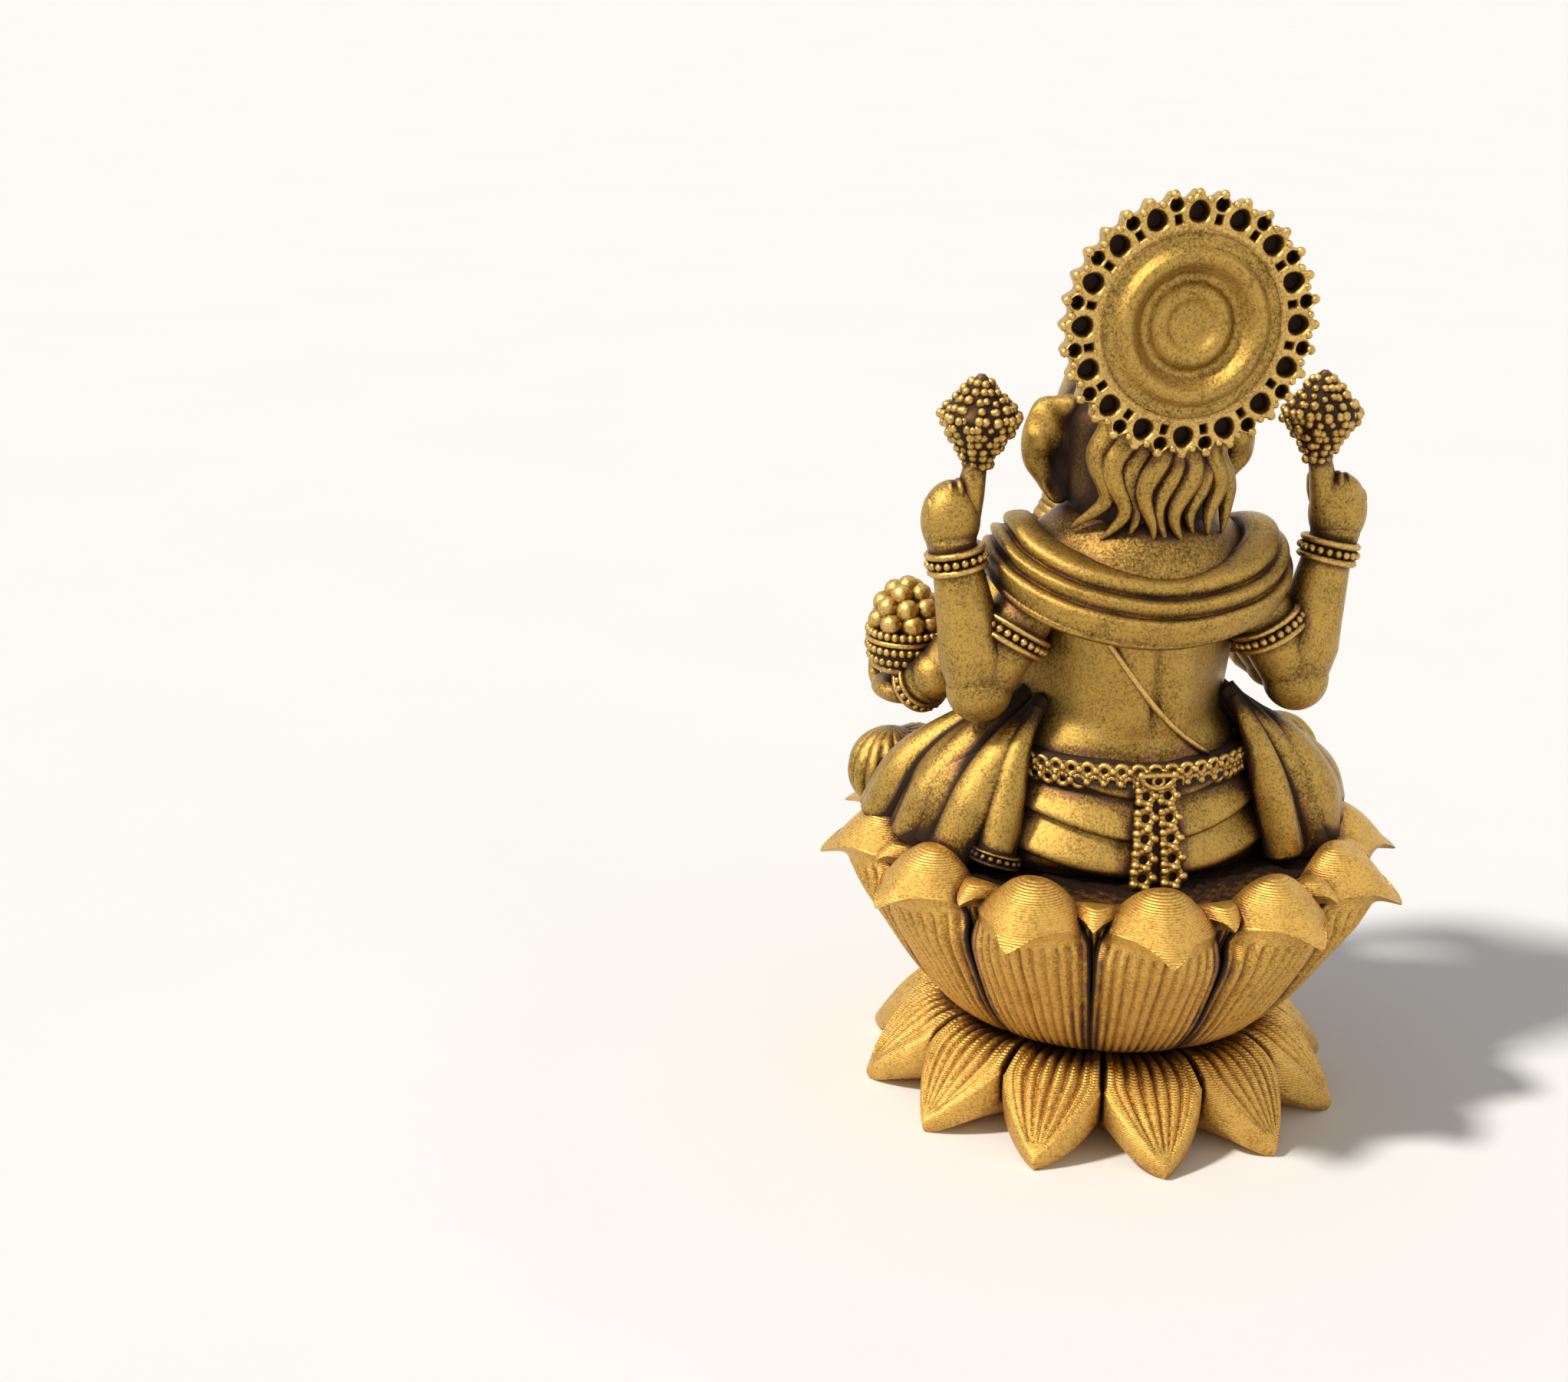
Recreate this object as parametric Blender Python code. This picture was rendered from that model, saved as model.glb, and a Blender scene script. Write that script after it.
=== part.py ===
"""Seated elephant-headed deity statuette on a double lotus base, built as separate castings.

Lengths are millimetres in this file and become metres on the objects. +Z is up, the
figure faces -Y and the origin is in the middle of the underside.
"""

import math

import bmesh
import bpy
import numpy as np

# Driving sizes, in millimetres
GAP = 0.3
PETAL_COUNT = 12
LOWER_TIP_RADIUS = 20.0
LOWER_HEIGHT = 7.2
UPPER_TIP_RADIUS = 24.2
UPPER_HEIGHT = 13.0
FIGURE_HEIGHT = 54.7
HALO_DISC_RADIUS = 7.0
HALO_RIM_WIDTH = 2.9
BOWL_RADIUS = 3.5
BUD_RADIUS = 3.2
STUD_RADIUS = 1.5

# Values that follow from the driving sizes
MM = 0.001
MODEL_FIGURE_HEIGHT = 54.7
MODEL_SEAT_TOP = 21.3
SEAT_THICKNESS = 0.8
FIGURE_SCALE = FIGURE_HEIGHT / MODEL_FIGURE_HEIGHT
UPPER_BOTTOM = LOWER_HEIGHT + GAP
UPPER_FLOOR = UPPER_BOTTOM + UPPER_HEIGHT - GAP
SEAT_BOTTOM = UPPER_FLOOR + GAP
SEAT_TOP = SEAT_BOTTOM + SEAT_THICKNESS
BORE_RADIUS = STUD_RADIUS + GAP
LOWER_TURN = math.radians(1.5)
UPPER_TURN = math.radians(6.3)
HALO_PERIODS = 16

PIECES = {}
WHOLE = {}


def figure(points):
    """Moves points drawn on the figure (height above ground) onto the seat at its scale."""
    points = np.asarray(points, float)
    moved = points * FIGURE_SCALE
    moved[..., 2] = SEAT_TOP + (points[..., 2] - MODEL_SEAT_TOP) * FIGURE_SCALE
    return moved


def mirrored(points, side):
    """Returns points with x multiplied by side (+1 the figure's left, -1 its right)."""
    return np.asarray(points, float) * np.array([side, 1.0, 1.0])


def add(name, rows, looped=False):
    """Makes one closed solid from rings of points and keeps it under its name."""
    count, around = rows.shape[:2]
    mesh = bmesh.new()
    rings = [[mesh.verts.new(point) for point in ring] for ring in rows * MM]
    for i in range(count if looped else count - 1):
        first = rings[i]
        second = rings[(i + 1) % count]
        for j in range(around):
            k = (j + 1) % around
            mesh.faces.new((first[j], first[k], second[k], second[j]))
    if not looped:
        for ring, row in ((rings[0], rows[0]), (rings[-1], rows[-1])):
            hub = mesh.verts.new(row.mean(axis=0) * MM)
            for j in range(around):
                mesh.faces.new((ring[j], ring[(j + 1) % around], hub))
    bmesh.ops.recalc_face_normals(mesh, faces=mesh.faces)
    data = bpy.data.meshes.new(name)
    mesh.to_mesh(data)
    mesh.free()
    return keep(name, bpy.data.objects.new(name, data))


def keep(name, obj):
    """Links an object to the scene and lists it."""
    bpy.context.scene.collection.objects.link(obj)
    PIECES[name] = obj
    return obj


def inflated(obj, distance):
    """A hidden copy of a piece as it was before any cut, grown outwards, used as a cutter."""
    mesh = bmesh.new()
    mesh.from_mesh(WHOLE[obj.name])
    mesh.normal_update()
    moves = [v.normal * distance * MM * min(v.calc_shell_factor(), 1.6) for v in mesh.verts]
    for vert, move in zip(mesh.verts, moves):
        vert.co += move
    data = bpy.data.meshes.new(obj.name + "_cutter")
    mesh.to_mesh(data)
    mesh.free()
    cutter = bpy.data.objects.new(obj.name + "_cutter", data)
    cutter.hide_render = True
    cutter.display_type = "WIRE"
    bpy.context.scene.collection.objects.link(cutter)
    return cutter


def combine(obj, other, operation):
    """Applies one Boolean to a piece and removes the other object."""
    modifier = obj.modifiers.new("shape", "BOOLEAN")
    modifier.operation = operation
    modifier.solver = "MANIFOLD"
    modifier.object = other
    bpy.context.view_layer.update()
    seen = obj.evaluated_get(bpy.context.evaluated_depsgraph_get())
    data = bpy.data.meshes.new_from_object(seen)
    obj.modifiers.remove(modifier)
    obj.data = data
    bpy.data.objects.remove(other)


def largest_island(obj):
    """Drops slivers that a cut has left, keeping the island with the greatest size."""
    mesh = bmesh.new()
    mesh.from_mesh(obj.data)
    unseen = set(mesh.verts)
    islands = []
    while unseen:
        stack = [unseen.pop()]
        island = list(stack)
        while stack:
            for edge in stack.pop().link_edges:
                for vert in edge.verts:
                    if vert in unseen:
                        unseen.discard(vert)
                        island.append(vert)
                        stack.append(vert)
        islands.append(island)
    if len(islands) > 1:
        spans = [np.ptp(np.array([v.co for v in island]), axis=0).sum() for island in islands]
        largest = int(np.argmax(spans))
        spare = [v for i, island in enumerate(islands) if i != largest for v in island]
        bmesh.ops.delete(mesh, geom=spare, context="VERTS")
        mesh.to_mesh(obj.data)
    mesh.free()


def carve(name, *neighbours):
    """Cuts a piece back from its neighbours, leaving the clearance between them."""
    for neighbour in neighbours:
        combine(PIECES[name], inflated(PIECES[neighbour], GAP), "DIFFERENCE")
        largest_island(PIECES[name])


def fuse(name, other):
    """Joins a second solid into a piece."""
    combine(PIECES[name], PIECES.pop(other), "UNION")


def smooth(points, count):
    """A Catmull-Rom path through points, sampled at count places."""
    points = np.asarray(points, float)
    padded = np.vstack([2 * points[0] - points[1], points, 2 * points[-1] - points[-2]])
    place = np.linspace(0.0, len(points) - 1.0, count)
    first = np.minimum(place.astype(int), len(points) - 2)
    t = (place - first)[:, None]
    a, b, c, d = (padded[first + i] for i in range(4))
    return 0.5 * (2 * b + (c - a) * t + (2 * a - 5 * b + 4 * c - d) * t**2 + (3 * b - a - 3 * c + d) * t**3)


def tube(path, across, along, sides=10, up=(0.0, 0.0, 1.0)):
    """Rings along a path with half-sizes across and along the up direction."""
    path = np.asarray(path, float)
    across = np.broadcast_to(across, len(path))[:, None, None]
    along = np.broadcast_to(along, len(path))[:, None, None]
    ahead = np.gradient(path, axis=0)
    side = np.cross(ahead, up)
    side /= np.linalg.norm(side, axis=1, keepdims=True)
    lift = np.cross(side, ahead)
    lift /= np.linalg.norm(lift, axis=1, keepdims=True)
    turn = np.linspace(0.0, 2 * math.pi, sides, endpoint=False)[None, :, None]
    return path[:, None] + np.cos(turn) * across * side[:, None] + np.sin(turn) * along * lift[:, None]


def limb(start, end, first, last, sides=8):
    """Rings of a straight tapered limb with rounded ends."""
    start = np.asarray(start, float)
    end = np.asarray(end, float)
    ahead = (end - start) / np.linalg.norm(end - start)
    up = (0.0, 1.0, 0.0) if abs(ahead[1]) < 0.7 else (0.0, 0.0, 1.0)
    middle = [start + (end - start) * t for t in (0.0, 0.5, 1.0)]
    path = [start - ahead * first * 0.9, start - ahead * first * 0.55, *middle]
    path += [end + ahead * last * 0.55, end + ahead * last * 0.9]
    sizes = [first * 0.42, first * 0.84, first, (first + last) / 2, last, last * 0.84, last * 0.42]
    return tube(path, np.array(sizes), np.array(sizes), sides, up)


def stack(stations, sides):
    """Level oval rings from rows of (height, half-width, half-depth, middle y)."""
    table = np.asarray(stations, float)
    turn = np.linspace(0.0, 2 * math.pi, sides, endpoint=False)
    x = table[:, 1, None] * np.cos(turn)
    y = table[:, 3, None] + table[:, 2, None] * np.sin(turn)
    z = np.broadcast_to(table[:, 0, None], x.shape)
    return np.stack([x, y, z], axis=2)


def turned(profile, sides, centre=(0.0, 0.0, 0.0), axis="z"):
    """Rings of a turned solid from rows of (radius, place along the axis)."""
    table = np.asarray(profile, float)
    turn = np.linspace(0.0, 2 * math.pi, sides, endpoint=False)
    a = table[:, 0, None] * np.cos(turn)
    b = table[:, 0, None] * np.sin(turn)
    c = np.broadcast_to(table[:, 1, None], a.shape)
    order = (a, b, c) if axis == "z" else (a, c, b)
    return np.stack(order, axis=2) + np.asarray(centre, float)


def ball(centre, sizes, sides=10):
    """Rings of an ellipsoid with half-sizes in x, y and z."""
    tilt = np.linspace(-0.42 * math.pi, 0.42 * math.pi, 6)
    table = [(math.sin(t), math.cos(t), math.cos(t), 0.0) for t in tilt]
    return stack(table, sides) * np.asarray(sizes, float) + np.asarray(centre, float)


def band(centre, ahead, inner, thick, width, sides=12):
    """Rings of a bracelet whose hole runs along a direction."""
    ahead = np.asarray(ahead, float) / np.linalg.norm(ahead)
    side = np.cross(ahead, (0.31, 0.93, 0.2))
    side /= np.linalg.norm(side)
    lift = np.cross(side, ahead)
    half = width / 2
    section = ((inner, -half), (inner, half), (inner + thick, half * 0.7), (inner + thick, -half * 0.7))
    turn = np.linspace(0.0, 2 * math.pi, sides, endpoint=False)[:, None]
    rows = [np.cos(turn) * r * side + np.sin(turn) * r * lift + ahead * w for r, w in section]
    return np.array(rows) + np.asarray(centre, float)


def strip(stations, thick, sides=16, pleats=0):
    """Rings of a hanging cloth from rows of (one edge, other edge), with pleats on its outer face."""
    edges = np.asarray(stations, float)
    middle = edges.mean(axis=1)
    half = (edges[:, 1] - edges[:, 0]) / 2
    fall = np.gradient(middle, axis=0)
    face = np.cross(half, fall)
    face /= np.linalg.norm(face, axis=1, keepdims=True)
    turn = np.linspace(0.0, 2 * math.pi, sides, endpoint=False)[None, :, None]
    wide = np.sign(np.cos(turn)) * np.abs(np.cos(turn)) ** 0.7
    outward = np.sin(turn)
    if pleats:
        outward = outward * np.where(outward > 0, 1 + 0.45 * np.cos(wide * pleats * math.pi), 1.0)
    return middle[:, None] + wide * half[:, None] + outward * thick * face[:, None]


def petal_turns(count, per_petal, turn):
    """Angles round a petal ring and each one's place in its petal, from -1 to 1."""
    place = np.sin(np.linspace(-1.0, 1.0, per_petal, endpoint=False) * math.pi / 2)
    pitch = 2 * math.pi / count
    angles = (np.arange(count)[:, None] + place[None] / 2) * pitch + turn
    return angles.ravel(), np.tile(place, count)


def ring_points(radius, height, angles):
    """Points at an angle from the back (+Y) towards the figure's left (+X)."""
    height = np.broadcast_to(height, radius.shape)
    return np.stack([radius * np.sin(angles), radius * np.cos(angles), height], axis=-1)


def build_base():
    """The two petal castings, the seat plate and the hidden fixing."""
    angles, place = petal_turns(PETAL_COUNT, 6, LOWER_TURN)
    neck = LOWER_TIP_RADIUS * 0.66
    valley = LOWER_TIP_RADIUS * 0.78
    edge = valley + (LOWER_TIP_RADIUS - valley) * (1 - np.abs(place)) ** 0.8
    foot_radius = LOWER_TIP_RADIUS * 0.55
    arch = LOWER_HEIGHT * 0.46 * np.abs(place) ** 1.4
    recess_radius = STUD_RADIUS * 3.4
    recess_top = LOWER_HEIGHT * 0.46
    tip_height = LOWER_HEIGHT * 0.16

    def slope(radius):
        share = np.clip((radius - neck) / (LOWER_TIP_RADIUS - neck), 0.0, 1.0)
        return tip_height + (LOWER_HEIGHT - tip_height) * (1 - share**1.6)

    flat = np.ones_like(place)
    rows = [
        (flat * BORE_RADIUS, recess_top),
        (flat * recess_radius, recess_top),
        (flat * recess_radius, 0.0),
        (flat * foot_radius, 0.0),
        (edge - 0.25, arch),
        (edge, arch + tip_height * 0.3),
        (edge, slope(edge)),
    ]
    for share in (0.66, 0.33, 0.0):
        radius = neck + (edge - neck) * share
        rows.append((radius, slope(radius)))
    rows.append((flat * BORE_RADIUS, LOWER_HEIGHT))
    add("lower_lotus", np.array([ring_points(r, z, angles) for r, z in rows]), looped=True)

    angles, place = petal_turns(PETAL_COUNT, 6, UPPER_TURN)
    grow = UPPER_TIP_RADIUS / 24.2
    lift = (UPPER_FLOOR - UPPER_BOTTOM) / 12.7
    small = np.clip((np.abs(place) - 0.55) / 0.45, 0.0, 1.0)
    profile = (
        (12.6, 7.5, 12.6, 7.5, 12.6, 7.5, 4.0, 1.0),
        (14.2, 8.5, 13.9, 8.6, 13.9, 8.6, 4.0, 1.0),
        (16.8, 11.2, 15.4, 11.2, 15.4, 11.2, 4.0, 1.0),
        (19.3, 14.6, 16.4, 14.8, 16.4, 14.8, 3.2, 0.98),
        (21.5, 17.6, 17.0, 17.0, 17.2, 17.0, 2.8, 0.95),
        (22.9, 19.4, 17.4, 18.2, 18.2, 19.0, 2.4, 0.92),
        (24.2, 20.3, 17.6, 18.7, 19.8, 20.8, 1.8, 0.9),
        (24.0, 21.1, 17.6, 19.1, 20.9, 22.0, 1.8, 0.9),
        (22.8, 22.4, 17.5, 19.5, 20.2, 22.5, 2.0, 0.9),
        (20.9, 23.7, 17.3, 19.8, 19.0, 22.3, 2.2, 0.9),
        (18.9, 24.3, 17.1, 20.0, 17.9, 21.6, 2.3, 0.9),
        (17.3, 23.5, 16.8, 20.1, 17.0, 20.8, 2.3, 0.9),
        (16.4, 20.2, 16.4, 20.2, 16.4, 20.2, 2.3, 0.9),
    )
    bottom = np.full_like(place, BORE_RADIUS)
    rows = [ring_points(bottom, UPPER_BOTTOM, angles)]
    for crest_r, crest_z, gap_r, gap_z, small_r, small_z, power, width in profile:
        share = np.clip(1 - np.abs(place / width) ** power, 0.0, 1.0)
        radius = (gap_r + (crest_r - gap_r) * share + (small_r - gap_r) * small) * grow
        height = gap_z + (crest_z - gap_z) * share + (small_z - gap_z) * small
        rows.append(ring_points(radius, UPPER_BOTTOM + (height - 7.5) * lift, angles))
    rows.append(ring_points(bottom, UPPER_FLOOR, angles))
    add("upper_lotus", np.array(rows), looped=True)

    plate = ((BORE_RADIUS, SEAT_BOTTOM), (15.6 * grow, SEAT_BOTTOM), (15.6 * grow, SEAT_TOP), (BORE_RADIUS, SEAT_TOP))
    add("seat_plate", turned(plate, 32), looped=True)

    stud_top = figure([[0.0, 0.0, 26.0]])[0, 2]
    stud = ((STUD_RADIUS, LOWER_HEIGHT * 0.09), (STUD_RADIUS, stud_top))
    add("fixing_stud", turned(stud, 14))
    washer_top = recess_top - GAP
    washer_bottom = washer_top - 0.6
    washer = ((BORE_RADIUS, washer_bottom), (STUD_RADIUS * 2.8, washer_bottom))
    washer += ((STUD_RADIUS * 2.8, washer_top), (BORE_RADIUS, washer_top))
    add("fixing_washer", turned(washer, 20), looped=True)
    nut_top = washer_bottom - GAP
    nut_bottom = LOWER_HEIGHT * 0.06
    nut_outer = STUD_RADIUS * 2.1
    nut = ((BORE_RADIUS, nut_bottom), (nut_outer, nut_bottom), (nut_outer, nut_top), (BORE_RADIUS, nut_top))
    add("fixing_nut", turned(nut, 6), looped=True)


HIPS = (
    (21.6, 12.0, 9.6, 0.6),
    (22.9, 13.0, 10.2, 0.6),
    (24.3, 12.2, 9.5, 0.6),
    (25.5, 12.4, 9.7, 0.5),
    (26.9, 11.3, 9.0, 0.4),
    (28.0, 11.2, 9.1, 0.3),
    (29.0, 10.4, 9.0, 0.2),
    (31.0, 10.2, 8.8, 0.2),
)
TORSO = (
    (31.3, 8.6, 8.0, -0.1),
    (32.3, 8.5, 8.2, -0.3),
    (34.0, 9.0, 9.0, -0.7),
    (37.5, 9.5, 9.6, -1.1),
    (41.0, 9.5, 8.6, -0.1),
    (44.0, 9.8, 6.8, 1.3),
    (46.5, 8.8, 5.4, 1.8),
    (48.6, 5.2, 4.2, 1.6),
    (49.6, 4.2, 3.6, 1.4),
)
HEAD = (
    (49.9, 4.0, 4.0, -0.5),
    (51.5, 5.4, 5.6, -1.2),
    (54.0, 6.6, 7.0, -1.6),
    (57.0, 6.9, 7.4, -1.6),
    (60.0, 6.2, 6.8, -1.2),
    (62.0, 4.8, 5.2, -0.9),
    (62.6, 3.6, 4.0, -0.8),
)


def torso_y(x, z, front):
    """The y of the torso's surface, on the back or the front, at places x and z."""
    table = np.array(TORSO)
    width, depth, middle = (np.interp(z, table[:, 0], table[:, i]) for i in (1, 2, 3))
    reach = depth * np.sqrt(np.clip(1 - (np.asarray(x) / width) ** 2, 0.05, 1.0))
    return middle - reach if front else middle + reach


def build_body():
    """Hips, torso, head and what lies on them."""
    add("hips", figure(stack(HIPS, 24)))
    add("torso", figure(stack(TORSO, 20)))
    add("head", figure(stack(HEAD, 16)))

    outer = np.array([[0.0, 11.0, 9.5, 0.2]])
    inner = np.array([[0.0, 10.3, 8.8, 0.2]])
    loops = []
    for table, height in ((inner, 28.9), (inner, 30.7), (outer, 30.5), (outer, 29.1)):
        placed = table.copy()
        placed[0, 0] = height
        loops.append(stack(placed, 28)[0])
    add("belt", figure(np.array(loops)), looped=True)
    buckle = ((1.5, 10.05), (1.7, 10.3), (1.7, 10.6), (1.1, 10.95))
    add("belt_buckle", figure(turned(buckle, 16, (0.0, 0.0, 30.0), "y")))
    tassel = [
        ((-1.6, 9.9, 27.9), (1.6, 9.9, 27.9)),
        ((-1.9, 10.5, 26.0), (1.9, 10.5, 26.0)),
        ((-2.3, 11.0, 24.0), (2.3, 11.0, 24.0)),
        ((-2.7, 11.4, 21.9), (2.7, 11.4, 21.9)),
    ]
    add("belt_tassel", figure(strip(tassel, 0.45, 14)))

    left = [
        ((9.8, 6.3, 28.4), (13.8, 0.6, 28.4)),
        ((11.0, 6.9, 26.4), (15.6, 0.3, 26.6)),
        ((12.0, 7.4, 24.4), (17.2, 0.1, 24.9)),
        ((12.5, 7.8, 22.0), (18.2, 0.0, 23.5)),
    ]
    add("left_sash", figure(strip(left, 1.0, 24, 3)))
    right = [
        ((-6.6, 8.0, 34.0), (-9.4, 5.6, 34.0)),
        ((-8.0, 9.0, 30.8), (-11.4, 6.2, 30.8)),
        ((-9.0, 9.7, 27.5), (-12.8, 6.6, 27.5)),
        ((-10.2, 10.0, 22.2), (-14.4, 6.6, 22.4)),
    ]
    add("right_sash", figure(strip(right, 0.8, 20, 2)))

    half = [(-6.8, -6.0, 44.0), (-9.6, -2.4, 46.6), (-10.6, 1.6, 47.2), (-9.8, 5.2, 46.0), (-6.0, 8.2, 44.3)]
    path = smooth(half + [(0.0, 9.4, 43.3)] + [(-x, y, z) for x, y, z in reversed(half)], 17)
    tall = np.interp(np.linspace(0.0, 1.0, 17), (0.0, 0.1, 0.5, 0.9, 1.0), (1.0, 2.2, 2.7, 2.2, 1.0))
    add("shawl", figure(tube(path, 1.15 * (tall / 2.7) ** 0.3, tall, 12)))

    x = np.linspace(3.9, -4.9, 9)
    z = np.linspace(40.0, 32.0, 9)
    back = np.stack([x, torso_y(x, z, False) + 0.75, z], axis=1)
    add("sacred_thread_back", figure(tube(back, 0.4, 0.4, 6)))
    x = np.linspace(6.2, -6.6, 11)
    z = np.linspace(41.2, 32.0, 11)
    front = np.stack([x, torso_y(x, z, True) - 0.75, z], axis=1)
    add("sacred_thread_front", figure(tube(front, 0.4, 0.4, 6)))
    x = np.linspace(-4.6, 4.6, 11)
    z = 42.6 + 2.2 * (x / 4.6) ** 2
    chain = np.stack([x, torso_y(x, z, True) - 1.1, z], axis=1)
    add("necklace", figure(tube(chain, 0.7, 0.7, 7)))


def build_head():
    """Trunk, tusks, ears, hair, crown and halo."""
    path = [(0.0, -8.2, 57.2), (0.0, -11.2, 54.5), (0.3, -12.6, 50.0), (1.6, -13.2, 45.5)]
    path += [(4.8, -13.3, 41.8), (8.6, -12.8, 40.6), (11.2, -12.0, 41.6), (11.8, -11.4, 43.2)]
    steps = 15
    size = np.interp(np.linspace(0.0, 1.0, steps), (0.0, 0.06, 0.3, 0.6, 0.96, 1.0), (2.2, 3.1, 2.8, 2.1, 1.3, 0.7))
    add("trunk", figure(tube(smooth(path, steps), size, size, 10, (0.0, 1.0, 0.2))))
    for name, side in (("left", 1.0), ("right", -1.0)):
        tusk = smooth([(3.4, -7.4, 53.8), (4.3, -10.8, 51.6), (4.9, -13.4, 51.4)], 7)
        thin = np.array([1.05, 1.0, 0.95, 0.85, 0.7, 0.55, 0.3])
        add(name + "_tusk", figure(mirrored(tube(tusk, thin, thin, 8), side)))
        table = ((0.75, -0.5), (1.0, 0.0), (1.0, 1.0), (0.75, 1.5))
        ear = turned(table, 18, (0.0, 0.0, 0.0), "y") * np.array([3.1, 1.0, 4.3])
        ear = ear + np.array([7.2, 0.0, 54.1])
        ear[..., 1] -= 0.12 * (ear[..., 0] - 7.2)
        add(name + "_ear", figure(mirrored(ear, side)))
    turn = np.linspace(0.0, 2 * math.pi, 32, endpoint=False)
    rows = []
    for height, wide, inside, outside in (
        (47.6, 5.2, 5.6, 6.6),
        (48.4, 5.9, 5.2, 7.4),
        (51.0, 6.3, 4.6, 7.8),
        (54.0, 6.4, 4.6, 8.0),
        (57.0, 6.2, 5.0, 8.0),
        (58.6, 5.2, 5.4, 7.4),
    ):
        x = wide * np.sign(np.cos(turn)) * np.abs(np.cos(turn)) ** 0.7
        y = (inside + outside) / 2 + (outside - inside) / 2 * np.sin(turn) - 0.05 * x**2
        y = y + 0.25 * np.cos(x / wide * 4.5 * math.pi) * np.clip(np.sin(turn), 0.0, 1.0)
        rows.append(np.stack([x, y, np.full_like(x, height)], axis=1))
    add("hair", figure(np.array(rows)))

    crown = ((4.6, 62.9), (5.6, 63.1), (5.7, 64.0), (4.9, 64.5), (5.2, 65.4), (4.3, 65.9), (4.5, 66.7))
    crown += ((3.4, 67.3), (3.5, 68.2), (2.3, 68.8), (2.2, 69.6), (1.1, 70.2), (1.4, 70.9), (0.6, 71.6))
    add("crown", figure(turned(crown, 14, (0.0, -1.0, 0.0))))

    radius = HALO_DISC_RADIUS
    middle = (0.0, 0.0, 65.7)
    disc = ((0.95, 9.0), (1.0, 9.2), (1.0, 10.4), (0.95, 10.7), (0.87, 10.7), (0.83, 10.2), (0.77, 10.5))
    disc += ((0.62, 10.5), (0.56, 10.0), (0.49, 10.3), (0.38, 10.3), (0.31, 9.9))
    disc = [(r * radius / FIGURE_SCALE, y) for r, y in disc]
    add("halo_disc", figure(turned(disc, 24, middle, "y")))
    post = ((1.6, 2.0), (1.6, 9.0 - GAP / FIGURE_SCALE))
    add("halo_post", figure(turned(post, 14, middle, "y")))
    build_halo_rim(radius + GAP)


def build_halo_rim(inner):
    """The openwork rim: a pierced plate with a pointed edge, from one filled outline."""
    width = HALO_RIM_WIDTH
    pitch = 2 * math.pi / HALO_PERIODS
    curve = bpy.data.curves.new("halo_rim", "CURVE")
    curve.dimensions = "2D"
    curve.fill_mode = "BOTH"
    curve.extrude = 0.6 * FIGURE_SCALE * MM

    def outline(points):
        spline = curve.splines.new("POLY")
        spline.points.add(len(points) - 1)
        flat = [value for x, y in points for value in (x * MM, y * MM, 0.0, 1.0)]
        spline.points.foreach_set("co", flat)
        spline.use_cyclic_u = True

    def polar(radius, angle):
        return radius * math.cos(angle), radius * math.sin(angle)

    def hole(radius, angle, size, sides):
        middle = polar(radius, angle)
        steps = [2 * math.pi * (i + 0.5) / sides + angle for i in range(sides)]
        outline([(middle[0] + size * math.cos(t), middle[1] + size * math.sin(t)) for t in steps])

    edge = ((0.0, 0.74), (0.25, 0.77), (0.38, 0.8), (0.45, 1.0), (0.55, 1.0), (0.62, 0.8), (0.75, 0.77))
    outline([polar(inner + width * r, (i + t) * pitch) for i in range(HALO_PERIODS) for t, r in edge])
    around = 2 * HALO_PERIODS
    outline([polar(inner, 2 * math.pi * i / around) for i in range(around)])
    for i in range(HALO_PERIODS):
        hole(inner + width * 0.36, i * pitch, width * 0.25, 6)
        hole(inner + width * 0.2, (i + 0.5) * pitch, width * 0.09, 4)
        hole(inner + width * 0.58, (i + 0.5) * pitch, width * 0.13, 5)
    flat = bpy.data.objects.new("halo_rim_outline", curve)
    bpy.context.scene.collection.objects.link(flat)
    bpy.context.view_layer.update()
    seen = flat.evaluated_get(bpy.context.evaluated_depsgraph_get())
    mesh = bmesh.new()
    mesh.from_mesh(bpy.data.meshes.new_from_object(seen))
    bpy.data.objects.remove(flat)
    bmesh.ops.remove_doubles(mesh, verts=mesh.verts, dist=0.00001)
    place = figure([[0.0, 9.8, 65.7]])[0] * MM
    for vert in mesh.verts:
        x, y, z = vert.co
        vert.co = (place[0] + x, place[1] - z, place[2] + y)
    bmesh.ops.recalc_face_normals(mesh, faces=mesh.faces)
    data = bpy.data.meshes.new("halo_rim")
    mesh.to_mesh(data)
    mesh.free()
    keep("halo_rim", bpy.data.objects.new("halo_rim", data))


def add_limb(name, joints, sizes, side, sides=8):
    """One bent limb: straight tapered lengths between joints, fused into a solid."""
    add(name, figure(mirrored(limb(joints[0], joints[1], sizes[0], sizes[1], sides), side)))
    for i in range(1, len(joints) - 1):
        add("length", figure(mirrored(limb(joints[i], joints[i + 1], sizes[i], sizes[i + 1], sides), side)))
        fuse(name, "length")


def add_band(name, start, end, sizes, share, side, width):
    """A bracelet round a tapered length, at a share of the way along it."""
    start = np.asarray(start, float)
    end = np.asarray(end, float)
    radius = sizes[0] + (sizes[1] - sizes[0]) * share + (GAP + 0.1) / FIGURE_SCALE
    rows = band(start + (end - start) * share, end - start, radius, 0.55, width)
    add(name, figure(mirrored(rows, side)), looped=True)


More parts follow.
